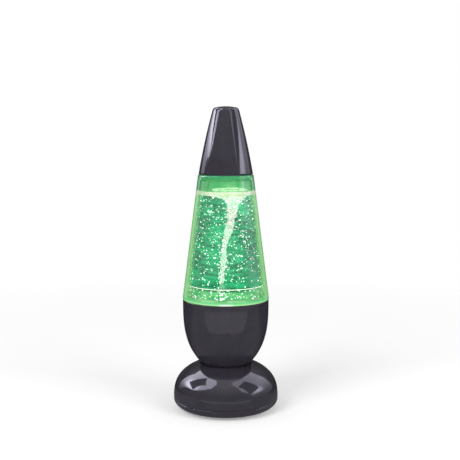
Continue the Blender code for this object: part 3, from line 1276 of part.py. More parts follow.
def make_spring(i, side, looks):
    """A conical spring from its contact plate to the flat end of cell i."""
    start = CONTACT_X - SEAT_GAP - SPRING_WIRE_RADIUS
    end = CELL_LENGTH / 2 + SEAT_GAP + SPRING_WIRE_RADIUS
    count = round(SPRING_TURNS * SPRING_STEPS)
    points = []
    for step in range(count + 1):
        share = step / count
        angle = math.tau * SPRING_TURNS * share
        reach = SPRING_RADIUS + (SPRING_TIP_RADIUS - SPRING_RADIUS) * share
        points.append((side * (start + (end - start) * share),
                       cell_y(i) + reach * math.cos(angle), CELL_Z + reach * math.sin(angle)))
    wire(f"contact_spring_{i + 1}", points, SPRING_WIRE_RADIUS, looks["steel"], resolution=0)


def make_switch(looks):
    """The slide switch behind its window, with the knob at the end of its travel that is on."""
    low_z, high_z = SWITCH_Z - SWITCH_CAN_HEIGHT / 2, SWITCH_Z + SWITCH_CAN_HEIGHT / 2
    back_y = SWITCH_FACE_Y - SWITCH_CAN_DEPTH
    body = box("switch_body", (-SWITCH_CAN_WIDTH / 2, back_y, low_z),
               (SWITCH_CAN_WIDTH / 2, SWITCH_FACE_Y, high_z), looks["steel"])
    edge = SWITCH_FLANGE_THICKNESS / 2
    join(body, box("switch_flange",
                   (-SWITCH_FLANGE_WIDTH / 2, SWITCH_FACE_Y - SWITCH_FLANGE_THICKNESS,
                    low_z + edge),
                   (SWITCH_FLANGE_WIDTH / 2, SWITCH_FACE_Y, high_z - edge)))
    for i in range(3):
        x = (i - 1) * SWITCH_PIN_PITCH
        join(body, box(f"switch_pin_{i + 1}",
                       (x - SWITCH_PIN_WIDTH / 2, back_y - SWITCH_PIN_LENGTH,
                        SWITCH_Z - SWITCH_FLANGE_THICKNESS / 2),
                       (x + SWITCH_PIN_WIDTH / 2, back_y + SWITCH_PIN_WIDTH,
                        SWITCH_Z + SWITCH_FLANGE_THICKNESS / 2)))
    hole = SMALL_SCREW["shank"] + SCREW_CLEARANCE
    for side in (-1, 1):
        x = side * SWITCH_POST_REACH
        behind = SWITCH_FACE_Y - SWITCH_FLANGE_THICKNESS
        cut(body, rod(f"flange_hole_{side + 2}", hole, (x, behind - CUT_OVERRUN, SWITCH_Z),
                      (x, SWITCH_FACE_Y + CUT_OVERRUN, SWITCH_Z), segments=SCREW_SEGMENTS))
        screw(f"switch_screw_{(side + 3) // 2}", SMALL_SCREW, SWITCH_SCREW_LENGTH,
              (x, behind - SEAT_GAP, SWITCH_Z), (0, -1, 0), looks)
    on_x = SWITCH_TRAVEL / 2
    heel_y = SWITCH_FACE_Y + SEAT_GAP
    face_y = BASE_RADIUS - KNOB_INSET
    knob = box("switch_knob", (on_x - KNOB_WIDTH / 2, heel_y, SWITCH_Z - KNOB_HEIGHT / 2),
               (on_x + KNOB_WIDTH / 2, face_y, SWITCH_Z + KNOB_HEIGHT / 2),
               looks["dark_plastic"], (on_x, heel_y, SWITCH_Z))
    join(knob, box("knob_heel",
                   (on_x - KNOB_HEEL_WIDTH / 2, heel_y, SWITCH_Z - KNOB_HEEL_HEIGHT / 2),
                   (on_x + KNOB_HEEL_WIDTH / 2, heel_y + KNOB_HEEL_THICKNESS,
                    SWITCH_Z + KNOB_HEEL_HEIGHT / 2)))
    for i in range(KNOB_GROOVE_COUNT):
        x = on_x + (i - (KNOB_GROOVE_COUNT - 1) / 2) * KNOB_GROOVE_PITCH
        cut(knob, box(f"knob_groove_{i + 1}",
                      (x - KNOB_GROOVE_WIDTH / 2, face_y - KNOB_GROOVE_DEPTH,
                       SWITCH_Z - KNOB_HEIGHT),
                      (x + KNOB_GROOVE_WIDTH / 2, face_y + CUT_OVERRUN, SWITCH_Z + KNOB_HEIGHT)))


def make_pads(looks):
    """Four rubber pads stuck to the flat of the base plate."""
    profile = [
        (0, UNDERSIDE_Z - SEAT_GAP),
        (PAD_RADIUS, UNDERSIDE_Z - SEAT_GAP),
        (PAD_RADIUS, PAD_EDGE),
        (PAD_RADIUS - PAD_EDGE, 0),
        (0, 0),
    ]
    for i, (x, y) in enumerate(PAD_PLACES):
        turned(f"foot_pad_{i + 1}", profile, looks["rubber"], segments=SMALL_SEGMENTS,
               location=(x, y, 0))


# The leads

def smooth_route(knots, count):
    """Evenly numbered points on a smooth curve through the knots."""
    knots = [Vector(knot) for knot in knots]
    padded = [2 * knots[0] - knots[1]] + knots + [2 * knots[-1] - knots[-2]]
    points = []
    for i in range(count):
        place = (len(knots) - 1) * i / (count - 1)
        first = min(int(place), len(knots) - 2)
        t = place - first
        a, b, c, d = padded[first:first + 4]
        points.append((2 * b + (c - a) * t + (2 * a - 5 * b + 4 * c - d) * t ** 2
                       + (3 * b - a - 3 * c + d) * t ** 3) / 2)
    return points


def make_leads(looks):
    """The leads from the contacts to the switch, up the neck to the motor, and to the board."""
    tab_z = BAY_TOP_Z + CONTACT_TAB_PROUD + SEAT_GAP + LEAD_RADIUS
    tab_x = CONTACT_X + CONTACT_THICKNESS / 2
    low_z = MOTOR_CAP_Z - MOTOR_CAP_THICKNESS - TERMINAL_LENGTH - SEAT_GAP
    lane = WIRE_HOLE_RADIUS / 2
    neck_low, neck_high = SOCKET_UNDERSIDE_Z - LEAD_RADIUS, CUP_FLOOR_Z + LEAD_RADIUS
    pin_y = SWITCH_FACE_Y - SWITCH_CAN_DEPTH - SWITCH_PIN_LENGTH - SEAT_GAP - LEAD_RADIUS / 2
    pin_z = SWITCH_Z
    mid_z = (tab_z + neck_low) / 2
    wire("lead_negative", smooth_route([
        (-tab_x, -CELL_PITCH, tab_z),
        (-tab_x * LEAD_SIDE_SHARE, -CELL_PITCH * LEAD_SIDE_SHARE, mid_z),
        (-tab_x * LEAD_INNER_SHARE, -CELL_PITCH * LEAD_INNER_SHARE, mid_z + lane),
        (-lane, 0, neck_low),
        (-lane, 0, neck_high),
        (-TERMINAL_REACH, 0, low_z),
    ], LEAD_POINTS), LEAD_RADIUS, looks["black_lead"])
    wire("lead_positive", smooth_route([
        (tab_x, CELL_PITCH, tab_z),
        (tab_x * LEAD_SIDE_SHARE, CELL_PITCH * LEAD_BACK_SHARES[0], mid_z),
        (SWITCH_PIN_PITCH, CELL_PITCH * LEAD_BACK_SHARES[1], mid_z),
        (SWITCH_PIN_PITCH, pin_y - lane, (mid_z + pin_z) / 2),
        (SWITCH_PIN_PITCH, pin_y, pin_z),
    ], LEAD_POINTS), LEAD_RADIUS, looks["red_lead"])
    wire("lead_switched", smooth_route([
        (0, pin_y, pin_z),
        (0, pin_y - lane, (mid_z + pin_z) / 2),
        (lane / 2, CELL_PITCH, mid_z),
        (lane, lane * LEAD_INNER_SHARE, neck_low),
        (lane, 0, neck_high),
        (TERMINAL_REACH, 0, low_z),
    ], LEAD_POINTS), LEAD_RADIUS, looks["red_lead"])
    board_x, board_y = board_lead_place()
    side_z = MOTOR_BOTTOM_Z
    wire("lead_board", smooth_route([
        (TERMINAL_REACH, -TERMINAL_WIDTH, low_z),
        (TERMINAL_REACH, -MOTOR_RADIUS, low_z),
        (board_x, board_y, side_z),
        (board_x, board_y, (side_z + BRACKET_Z) / 2),
        (board_x, board_y, BRACKET_Z),
        (board_x, board_y, BOARD_Z - SEAT_GAP),
    ], LEAD_POINTS), LEAD_RADIUS, looks["red_lead"])


def build():
    start_scene()
    looks = make_materials()
    impeller_axle = axis_empty("impeller_axle", (0, 0, IMPELLER_Z))
    motor_axle = axis_empty("motor_axle", (0, 0, MOTOR_TOP_Z))
    make_cap(looks)
    make_filler_plug(looks)
    make_globe(looks)
    make_globe_floor(looks)
    make_liquid(looks)
    make_impeller(looks, impeller_axle)
    make_impeller_guard(looks)
    make_rotor(looks, motor_axle)
    make_motor(looks)
    make_bracket(looks)
    make_lights(looks)
    make_cup(looks)
    make_foot(looks)
    make_base_plate(looks)
    make_battery_door(looks)
    make_cells(looks)
    make_contacts(looks)
    make_switch(looks)
    make_pads(looks)
    make_leads(looks)


build()
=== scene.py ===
import math
import random

import bmesh
import bpy
from mathutils import Matrix, Vector


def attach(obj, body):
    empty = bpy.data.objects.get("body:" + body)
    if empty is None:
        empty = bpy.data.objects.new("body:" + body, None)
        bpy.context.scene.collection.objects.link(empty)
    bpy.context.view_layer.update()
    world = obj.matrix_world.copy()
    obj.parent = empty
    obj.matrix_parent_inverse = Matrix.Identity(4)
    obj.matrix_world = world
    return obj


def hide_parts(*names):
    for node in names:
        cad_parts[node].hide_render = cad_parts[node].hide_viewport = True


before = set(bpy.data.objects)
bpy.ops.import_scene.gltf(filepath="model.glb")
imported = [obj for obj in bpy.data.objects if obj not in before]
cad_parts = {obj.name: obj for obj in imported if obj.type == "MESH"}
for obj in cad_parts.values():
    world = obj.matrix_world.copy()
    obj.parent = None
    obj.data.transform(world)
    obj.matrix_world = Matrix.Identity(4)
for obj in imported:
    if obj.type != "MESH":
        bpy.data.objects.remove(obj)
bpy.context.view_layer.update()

MM = 0.001
HALF_TURN = math.pi
FULL_TURN = 2 * math.pi

# Fineness of the turned and drawn shapes
TURN_STEPS = 144
CURVE_STEPS = 48
ROUND_STEPS = 6
MERGE_DISTANCE = 0.002 * MM
SMOOTH_ANGLE = math.radians(30)
START_SIZE = 1 * MM
LEVEL_ENOUGH = 0.5

# The cap: a taper with a slight bulge, a rounded top and a low crown
CAP_EDGE_Z = 178.3 * MM
CAP_TOP_Z = 228.6 * MM
CAP_RADIUS = 20.36 * MM
CAP_TOP_RADIUS = 9.1 * MM
CAP_BULGE = 0.7 * MM
CAP_ROUNDING = 3.2 * MM
CAP_CROWN = 0.7 * MM
CAP_WALL = 1.8 * MM
CAP_LIP = 0.35 * MM
CAP_HEIGHT = CAP_TOP_Z - CAP_EDGE_Z

# The globe: a clear cone with a shoulder and a closed neck under the cap
SEAT_GAP = 0.3 * MM
GLOBE_BOTTOM_Z = 84.5 * MM
SHOULDER_Z = 178 * MM
GLOBE_TOP_Z = 193.09 * MM
GLOBE_RADIUS = 32.7 * MM
GLOBE_TOP_RADIUS = 20.9 * MM
GLOBE_WALL = 2 * MM
GLOBE_ROUNDING = 1 * MM
GLOBE_EDGE = 0.4 * MM
NECK_CHAMFER = 1 * MM
SHOULDER_GLOW_Z = 175.5 * MM
FOOT_GLOW_Z = 87 * MM
RIM_GLOW_Z = 85.9 * MM
FILLER_RADIUS = 5 * MM

# The globe's floor
FLOOR_Z = 87.5 * MM
FLOOR_UNDERSIDE_Z = 85 * MM
FLOOR_SKIRT_END_Z = 79.5 * MM
FLOOR_SKIRT_WALL = 2 * MM
PIN_SOCKET_RADIUS = 1.3 * MM
PIN_SOCKET_Z = 86.3 * MM

# The cup under the globe, an egg curve that ends in a spigot
RIM_Z = 84.2 * MM
CUP_NECK_Z = 35.5 * MM
CUP_BOTTOM_Z = 33.3 * MM
CUP_FLOOR_Z = 35.8 * MM
CUP_RADIUS = 32.45 * MM
CUP_LENGTH = 61.39 * MM
CUP_EXPONENTS = (3.153, 1.217)
CUP_WALL = 2 * MM
RIM_ROUNDING = 0.5 * MM
WIRE_HOLE_RADIUS = 6 * MM
POST_COUNT = 3
POST_SIDES = 32
POST_RADIUS = 3 * MM
POST_REACH = 24.5 * MM
POST_TOP_Z = 71 * MM
BOSS_RADIUS = 2.8 * MM
BOSS_REACH = 13 * MM
BOSS_TOP_Z = 42 * MM
PILOT_RADIUS = 1.4 * MM
PILOT_DEPTH = 8 * MM

# The foot: an egg-curved dome on a dished plate
WIDEST_Z = 8.06 * MM
UNDERSIDE_Z = 1 * MM
FLAT_RADIUS = 29.6 * MM
DOME_RADIUS = 39.7 * MM
DOME_HEIGHT = 30.68 * MM
DOME_EXPONENTS = (2.907, 1.738)
PARTING_Z = 8.21 * MM
SKIN_CUTS = 3
SKIN_TOLERANCE = 0.03 * MM

# The liquid, and the vortex in it: shares of the way down, of the core's radius, of half a turn
# and of the sway that carries its middle off the axis
LIQUID_TOP_Z = 166.2 * MM
LIQUID_GAP = 0.5 * MM
WATER_LINE_HEIGHT = 3 * MM
WATER_LINE_LOW_Z = LIQUID_TOP_Z - WATER_LINE_HEIGHT
FILM_TOP_Z = 175.8 * MM
FILM_THICKNESS = 0.15 * MM
VORTEX_FOOT_Z = 92.8 * MM
VORTEX_RADIUS = 3.5 * MM
VORTEX_SWAY = 4.9 * MM
VORTEX_SHARES = (
    (0.000, 3.60, -0.35, 1.30),
    (0.030, 3.55, -0.33, 1.20),
    (0.060, 3.30, -0.26, 0.95),
    (0.076, 2.70, -0.16, 0.95),
    (0.095, 2.10, -0.04, 1.08),
    (0.115, 1.60, 0.00, 1.12),
    (0.135, 1.32, 0.00, 1.10),
    (0.158, 1.12, 0.00, 1.05),
    (0.200, 1.00, 0.05, 1.04),
    (0.250, 0.85, 0.14, 0.97),
    (0.305, 0.70, 0.21, 1.00),
    (0.395, 0.70, 0.33, 1.00),
    (0.495, 0.50, 0.49, 1.00),
    (0.600, 0.38, 0.59, 1.00),
    (0.705, 0.48, 0.61, 1.00),
    (0.810, 0.34, 0.67, 1.00),
    (0.900, 0.40, 0.70, 0.95),
    (1.000, 0.34, 0.84, 0.70),
)
VORTEX_RINGS = 220
VORTEX_CROWDING = 1.5
VORTEX_SIDES = 60
FOAM_SKIN = 0.25 * MM
COLLAR_MIDDLE = (3 * MM, 5.6 * MM)
COLLAR_OUTLINE = (
    (13.6 * MM, LIQUID_TOP_Z),
    (12.4 * MM, LIQUID_TOP_Z + 0.5 * MM),
    (12.0 * MM, LIQUID_TOP_Z + 0.7 * MM),
    (11.4 * MM, LIQUID_TOP_Z + 0.5 * MM),
    (10.6 * MM, LIQUID_TOP_Z),
)
RIDGE_DEPTH_SHARE = 0.5
RIDGE_COUNTS = (2, 5, 9)
RIDGE_TURNS = (13, -21, 34)
RIDGE_START_SHARE = 0.45

# The guard over the impeller
GUARD_RADIUS = 28.93 * MM
GUARD_WALL = 1.2 * MM
GUARD_TOP_Z = 96 * MM
GUARD_FOOT_Z = 87.8 * MM
GUARD_EYE_RADIUS = 6 * MM
GUARD_EDGE = 0.35 * MM
BEAD_RADIUS = 0.28 * MM
GUARD_SHADE_Z = 93.2 * MM
GUARD_SLOT_COUNT = 12
GUARD_SLOT_WIDTH = 2.5 * MM
GUARD_SLOT_MARGIN = 3 * MM
GUARD_WINDOW_WIDTH = 5 * MM
GUARD_WINDOW_LOW_Z = 89.2 * MM
GUARD_WINDOW_HIGH_Z = 94.1 * MM
CUT_OVERRUN = 1 * MM

# The glitter
GLITTER_SEED = 12
GLITTER_COUNTS = {"glitter_wall": 640, "glitter_cloud": 430, "glitter_vortex": 240,
                  "glitter_foot": 150}
GLITTER_FOOT_Z = 88.3 * MM
GLITTER_TOPS = {"glitter_wall": WATER_LINE_LOW_Z, "glitter_cloud": WATER_LINE_LOW_Z,
                "glitter_vortex": 152 * MM, "glitter_foot": 95.5 * MM}
TAIL_SHARE = 0.13
TAIL_ANGLE = -0.53 * HALF_TURN
TAIL_SPREAD = 0.07
FLAKE_CLOUD_DEPTH = 1.6 * MM
FLAKE_SIDES = 6
FLAKE_RADIUS = 0.4 * MM
FLAKE_THICKNESS = 0.04 * MM
FLAKE_SIZES = (0.5, 1.35)
FLAKE_STRETCHES = (1, 1, 1, 2.2)
FLAKE_WALL_GAP = 0.8 * MM
FLAKE_WOBBLE = 0.6

# What the materials are drawn with: refraction, fades, cells and the bands on the batteries
ABS_IOR = 1.53
STYRENE_IOR = 1.59
WETTED_IOR = 1.19
LIGHT_COUNT = 4
END_FADE = 0.8 * MM
GRAIN_SIZE = 0.4 * MM
BUBBLE_SIZE = 0.9 * MM
WEAVE_SIZE = 0.5 * MM
TOOL_LINE_SWING = 0.08
CELL_SLEEVE_REACH = 21.2 * MM
CELL_BAND_REACH = 15 * MM
CELL_PRINT_FADE = 0.1 * MM

# Patterns: the size of a blob, the noise's detail, and how far it is drawn out along X, Y and Z
EVENLY = (1, 1, 1)
PATTERNS = {
    "marks": (9 * MM, 5, EVENLY),
    "dust": (0.7 * MM, 3, EVENLY),
    "peel": (2.5 * MM, 2, EVENLY),
    "grey_clouds": (6 * MM, 2, EVENLY),
    "flow": (14 * MM, 2, (1, 1, 0.3)),
    "teal_clouds": (13 * MM, 3, (1.6, 1.6, 1)),
    "swirl": (4 * MM, 4, (2.5, 2.5, 0.5)),
    "low_swirl": (5 * MM, 4, (2, 2, 0.6)),
    "pools": (9 * MM, 2, EVENLY),
    "runs": (5 * MM, 3, (1, 1, 2.5)),
    "streaks": (3 * MM, 4, (1, 1, 3)),
    "ripples": (4 * MM, 4, (2, 2, 0.5)),
    "tint": (3 * MM, 2, EVENLY),
    "beads": (2 * MM, 3, EVENLY),
    "tool_lines": (0.25 * MM, 2, (8, 8, 1)),
    "plating": (2 * MM, 3, EVENLY),
    "mottle": (3 * MM, 3, EVENLY),
    "lacquer": (2 * MM, 2, EVENLY),
    "haze": (1 * MM, 2, EVENLY),
    "print": (1 * MM, 2, EVENLY),
    "wear": (4 * MM, 2, EVENLY),
    "rubber_grain": (0.3 * MM, 4, EVENLY),
    "lead_ripples": (1.2 * MM, 2, EVENLY),
}
DEPTHS = {
    "peel": 0.006 * MM,
    "grain": 0.02 * MM,
    "flow": 0.01 * MM,
    "bubbles": 0.2 * MM,
    "ripples": 0.1 * MM,
    "tool_lines": 0.004 * MM,
    "mottle": 0.02 * MM,
    "rubber_grain": 0.03 * MM,
    "lead_ripples": 0.03 * MM,
}


# Working with Blender's edit tools

def start_piece(name):
    """Names the primitive just added and opens it for editing."""
    piece = bpy.context.object
    piece.name = name
    piece.data.name = name
    bpy.ops.object.mode_set(mode="EDIT")
    bpy.ops.mesh.select_mode(type="VERT")
    return piece


def finish_piece(piece):
    """Merges doubles, turns the faces outwards and leaves the piece at the origin, smooth."""
    bpy.ops.mesh.select_all(action="SELECT")
    bpy.ops.mesh.remove_doubles(threshold=MERGE_DISTANCE)
    bpy.ops.mesh.normals_make_consistent(inside=False)
    bpy.ops.object.mode_set(mode="OBJECT")
    pick(piece)
    bpy.ops.object.transform_apply(location=True, rotation=True, scale=True)
    smooth(piece)
    return piece


def pick(*pieces):
    """Selects only these pieces, the last one active."""
    bpy.ops.object.select_all(action="DESELECT")
    for piece in pieces:
        piece.select_set(True)
        bpy.context.view_layer.objects.active = piece


def smooth(piece):
    pick(piece)
    bpy.ops.object.shade_smooth_by_angle(angle=SMOOTH_ANGLE)


def apply_modifier(piece, kind, **settings):
    """Adds a modifier, sets it and applies it."""
    modifier = piece.modifiers.new(kind.title(), kind)
    for setting, value in settings.items():
        setattr(modifier, setting, value)
    pick(piece)
    bpy.ops.object.modifier_apply(modifier=modifier.name)


def turned(name, outline, looped=True):
    """A piece turned on the lamp's axis: its outline is drawn point by point and spun round. One
    that starts and ends on the axis needs no line back to its start."""
    first_radius, first_z = outline[0]
    bpy.ops.object.select_all(action="DESELECT")
    bpy.ops.mesh.primitive_plane_add(size=START_SIZE, location=(first_radius, 0, first_z))
    piece = start_piece(name)
    bpy.ops.mesh.merge(type="CENTER")
    points = list(outline) + ([outline[0]] if looped else [])
    for (radius, z), (next_radius, next_z) in zip(points, points[1:]):
        step = (next_radius - radius, 0, next_z - z)
        bpy.ops.mesh.extrude_vertices_move(TRANSFORM_OT_translate={"value": step})
    bpy.ops.mesh.select_all(action="SELECT")
    bpy.ops.mesh.spin(steps=TURN_STEPS, angle=FULL_TURN, center=(0, 0, 0), axis=(0, 0, 1))
    return finish_piece(piece)


def join(piece, *others):
    """Makes the others part of the piece."""
    pick(*others, piece)
    bpy.ops.object.join()
    return piece


def cut(piece, cutter, operation="DIFFERENCE"):
    """Takes the cutter's shape out of the piece, or with INTERSECT keeps only what lies in it."""
    apply_modifier(piece, "BOOLEAN", object=cutter, operation=operation, solver="EXACT")
    bpy.data.objects.remove(cutter)


def turn_about_axis(piece, angle):
    piece.data.transform(Matrix.Rotation(angle, 4, "Z"))


def shown(name, data):
    """A new object of the scene that shows a mesh, a lamp or a camera."""
    made = bpy.data.objects.new(name, data)
    bpy.context.scene.collection.objects.link(made)
    return made


def copied(piece, name):
    """A copy with a mesh of its own."""
    twin = piece.copy()
    twin.data = piece.data.copy()
    twin.name = name
    twin.data.name = name
    bpy.context.scene.collection.objects.link(twin)
    return twin


def ring_of(piece, count, first_angle=0.0):
    """Copies the piece round the axis and joins them all."""
    twins = [copied(piece, f"{piece.name}_{i + 1}") for i in range(1, count)]
    for i, twin in enumerate(twins, start=1):
        turn_about_axis(twin, first_angle + FULL_TURN * i / count)
    turn_about_axis(piece, first_angle)
    return join(piece, *twins)


def block(name, low, high):
    """A box between two corners, as a cutter."""
    middle = [(a + b) / 2 for a, b in zip(low, high)]
    bpy.ops.object.select_all(action="DESELECT")
    bpy.ops.mesh.primitive_cube_add(size=1, location=middle)
    piece = start_piece(name)
    size = [b - a for a, b in zip(low, high)]
    bpy.ops.transform.resize(value=size, center_override=middle)
    return finish_piece(piece)


# Outlines, as points (radius, height)

def arc(centre, radius, start, end):
    """Points on a quarter or so of a circle between two angles from the horizontal."""
    for i in range(ROUND_STEPS + 1):
        angle = start + (end - start) * i / ROUND_STEPS
        yield (centre[0] + radius * math.cos(angle), centre[1] + radius * math.sin(angle))


def egg_curve(radius, height, exponents, end_share):
    """Points (radius, distance along the axis) of an egg from its widest place."""
    rise, roundness = exponents
    end = math.asin(end_share ** (rise / 2))
    for i in range(CURVE_STEPS + 1):
        angle = end * i / CURVE_STEPS
        yield (radius * math.cos(angle) ** (2 / roundness), height * math.sin(angle) ** (2 / rise))


def cap_radius(share):
    """Radius of the cap's outside at a share of its height."""
    straight = CAP_RADIUS + (CAP_TOP_RADIUS - CAP_RADIUS) * share
    return straight + 4 * CAP_BULGE * share * (1 - share)


def cap_place(share, inset=0.0):
    return (cap_radius(share) - inset, CAP_EDGE_Z + CAP_HEIGHT * share)


def globe_outer(z):
    share = (z - GLOBE_BOTTOM_Z) / (SHOULDER_Z - GLOBE_ROUNDING - GLOBE_BOTTOM_Z)
    return GLOBE_RADIUS + (GLOBE_TOP_RADIUS - GLOBE_RADIUS) * share


def globe_inner(z):
    return globe_outer(z) - GLOBE_WALL


def neck_outer(z):
    """Radius of the globe's neck, which fits the cap's inside."""
    return cap_radius((z - CAP_EDGE_Z) / CAP_HEIGHT) - CAP_WALL - SEAT_GAP


def cap_outline():
    """From the crown over the rounding down the side, round the lip and up the inside."""
    slope = (CAP_RADIUS - CAP_TOP_RADIUS + 4 * CAP_BULGE) / CAP_HEIGHT
    lean = math.atan(slope)
    side_top_z = CAP_TOP_Z - CAP_CROWN - CAP_ROUNDING * (1 - math.sin(lean))
    side_top = (side_top_z - CAP_EDGE_Z) / CAP_HEIGHT
    centre = (cap_radius(side_top) - CAP_ROUNDING * math.cos(lean),
              side_top_z - CAP_ROUNDING * math.sin(lean))
    points = []
    for i in range(ROUND_STEPS):
        share = i / ROUND_STEPS
        points.append((centre[0] * share, CAP_TOP_Z - CAP_CROWN * share ** 2))
    points += arc(centre, CAP_ROUNDING, HALF_TURN / 2, lean)
    lip_share = CAP_LIP / CAP_HEIGHT
    for i in range(1, CURVE_STEPS + 1):
        points.append(cap_place(side_top + (lip_share - side_top) * i / CURVE_STEPS))
    lip_radius = cap_radius(lip_share)
    points.append((lip_radius - CAP_LIP / 4, CAP_EDGE_Z + CAP_LIP / 4))
    points.append((lip_radius - CAP_LIP, CAP_EDGE_Z))
    points.append((CAP_RADIUS - CAP_WALL + CAP_LIP, CAP_EDGE_Z))
    ceiling = 1 - (CAP_CROWN + CAP_WALL) / CAP_HEIGHT
    for i in range(CURVE_STEPS // 2 + 1):
        share = lip_share + (ceiling - lip_share) * i / (CURVE_STEPS // 2)
        points.append(cap_place(share, CAP_WALL))
    points.append((0, CAP_EDGE_Z + CAP_HEIGHT * ceiling))
    return points


def globe_outline():
    """The neck with its filling hole, the shoulder, the cone, its foot and the inside."""
    neck_top = neck_outer(GLOBE_TOP_Z)
    shoulder_low = SHOULDER_Z - GLOBE_ROUNDING
    points = [
        (FILLER_RADIUS, GLOBE_TOP_Z),
        (neck_top - NECK_CHAMFER, GLOBE_TOP_Z),
        (neck_top, GLOBE_TOP_Z - NECK_CHAMFER),
        (neck_outer(SHOULDER_Z), SHOULDER_Z),
    ]
    points += arc((GLOBE_TOP_RADIUS - GLOBE_ROUNDING, shoulder_low), GLOBE_ROUNDING,
                  HALF_TURN / 2, 0)
    foot_high = GLOBE_BOTTOM_Z + GLOBE_EDGE
    points += even_steps((GLOBE_TOP_RADIUS, shoulder_low), (globe_outer(foot_high), foot_high))
    points += arc((GLOBE_RADIUS - GLOBE_EDGE, foot_high), GLOBE_EDGE, 0, -HALF_TURN / 2)
    points.append((globe_inner(GLOBE_BOTTOM_Z), GLOBE_BOTTOM_Z))
    return points + globe_room()


def even_steps(start, end):
    """Points between two places, so that a long cone's faces stay short."""
    count = CURVE_STEPS // 2
    for i in range(1, count):
        share = i / count
        yield (start[0] + (end[0] - start[0]) * share, start[1] + (end[1] - start[1]) * share)


def globe_room():
    """The globe's inside from above its foot up to the filling hole."""
    turn_z = SHOULDER_Z - GLOBE_WALL
    low = (globe_inner(FLOOR_Z), FLOOR_Z)
    high = (globe_inner(turn_z - GLOBE_WALL), turn_z - GLOBE_WALL)
    return [low] + list(even_steps(low, high)) + [
        high,
        (neck_outer(SHOULDER_Z) - GLOBE_WALL, turn_z),
        (neck_outer(GLOBE_TOP_Z) - GLOBE_WALL, GLOBE_TOP_Z - GLOBE_WALL),
        (FILLER_RADIUS, GLOBE_TOP_Z - GLOBE_WALL),
    ]


def globe_floor_outline():
    """The floor with the pin's socket, and the skirt that centres the globe in the cup."""
    skirt = CUP_RADIUS - CUP_WALL - SEAT_GAP
    return [
        (0, PIN_SOCKET_Z),
        (PIN_SOCKET_RADIUS, PIN_SOCKET_Z),
        (PIN_SOCKET_RADIUS, FLOOR_Z),
        (globe_inner(FLOOR_Z) - SEAT_GAP, FLOOR_Z),
        (skirt, GLOBE_BOTTOM_Z),
        (skirt, FLOOR_SKIRT_END_Z + GLOBE_EDGE),
        (skirt - GLOBE_EDGE, FLOOR_SKIRT_END_Z),
        (skirt - FLOOR_SKIRT_WALL, FLOOR_SKIRT_END_Z),
        (skirt - FLOOR_SKIRT_WALL, FLOOR_UNDERSIDE_Z),
        (0, FLOOR_UNDERSIDE_Z),
    ]


def cup_inside(inset, low_z):
    """The cup's inside from a height up to its rim, set in by a wall."""
    length = CUP_LENGTH - inset
    inside = egg_curve(CUP_RADIUS - inset, length, CUP_EXPONENTS, (RIM_Z - low_z) / length)
    return [(r, RIM_Z - h) for r, h in reversed(list(inside))]


def cup_outline():
    """The rim with its rounded edge, the egg down to the spigot, the floor and the inside."""
    rim = (CUP_RADIUS - RIM_ROUNDING, RIM_Z - RIM_ROUNDING)
    points = list(arc(rim, RIM_ROUNDING, HALF_TURN / 2, 0))
    outside = egg_curve(CUP_RADIUS, CUP_LENGTH, CUP_EXPONENTS, (RIM_Z - CUP_NECK_Z) / CUP_LENGTH)
    points += [(r, RIM_Z - h) for r, h in outside if h > RIM_ROUNDING]
    points.append((points[-1][0], CUP_BOTTOM_Z))
    points.append((WIRE_HOLE_RADIUS, CUP_BOTTOM_Z))
    points.append((WIRE_HOLE_RADIUS, CUP_FLOOR_Z))
    return points + cup_inside(CUP_WALL, CUP_FLOOR_Z)


def vortex_rings(clearance=0.0):
    """Middle and radius of the vortex's level rings from the surface down to its foot, closer
    together near the surface, with the table's shares joined by a smooth curve."""
    rings = []
    for i in range(VORTEX_RINGS + 1):
        down = (i / VORTEX_RINGS) ** VORTEX_CROWDING
        radius_share, turn_share, sway_share = smooth_between(VORTEX_SHARES, down)
        angle = HALF_TURN * turn_share
        sway = VORTEX_SWAY * sway_share
        z = LIQUID_TOP_Z - (LIQUID_TOP_Z - VORTEX_FOOT_Z) * down
        rings.append((Vector((sway * math.cos(angle), -sway * math.sin(angle), z)),
                      VORTEX_RADIUS * radius_share + clearance))
    return rings


def ridge_depth(i):
    """How much of its radius the foam's ridges may cut from a ring: nothing at the mouth."""
    return RIDGE_DEPTH_SHARE * min(1, i / VORTEX_RINGS / RIDGE_START_SHARE)


def smooth_between(table, down):
    """The shares at a share of the way down, on a curve through the table's rows."""
    last = len(table) - 1
    k = next((i for i in range(last) if table[i + 1][0] >= down), last - 1)
    rows = [table[max(0, min(last, k + step))] for step in (-1, 0, 1, 2)]
    t = (down - rows[1][0]) / (rows[2][0] - rows[1][0])
    values = []
    for column in range(1, len(table[0])):
        p0, p1, p2, p3 = (row[column] for row in rows)
        values.append(p1 + t * (p2 - p0) / 2 + t ** 2 * (p0 - 2.5 * p1 + 2 * p2 - p3 / 2)
                      + t ** 3 * (1.5 * (p1 - p2) + (p3 - p0) / 2))
    return values


# Materials

def linear(hex_colour):
    """An sRGB hex value as the linear colour that a shader takes."""
    channels = [int(hex_colour[i:i + 2], 16) / 255 for i in (1, 3, 5)]
    return [c / 12.92 if c <= 0.04045 else ((c + 0.055) / 1.055) ** 2.4 for c in channels] + [1]


def add(tree, kind, inputs=None, **options):
    """Adds a node: options set it, and an input takes a value or another node's socket."""
    made = tree.nodes.new(kind)
    for option, value in options.items():
        setattr(made, option, value)
    for socket, value in (inputs or {}).items():
        if isinstance(value, bpy.types.NodeSocket):
            tree.links.new(value, made.inputs[socket])
        else:
            made.inputs[socket].default_value = value
    return made


def new_material(name):
    """An empty material with the place on the object as its pattern's coordinates."""
    material = bpy.data.materials.new(name)
    material.use_nodes = True
    material.cycles.emission_sampling = "NONE"
    tree = material.node_tree
    tree.nodes.clear()
    place = add(tree, "ShaderNodeTexCoord").outputs["Object"]
    return material, tree, place


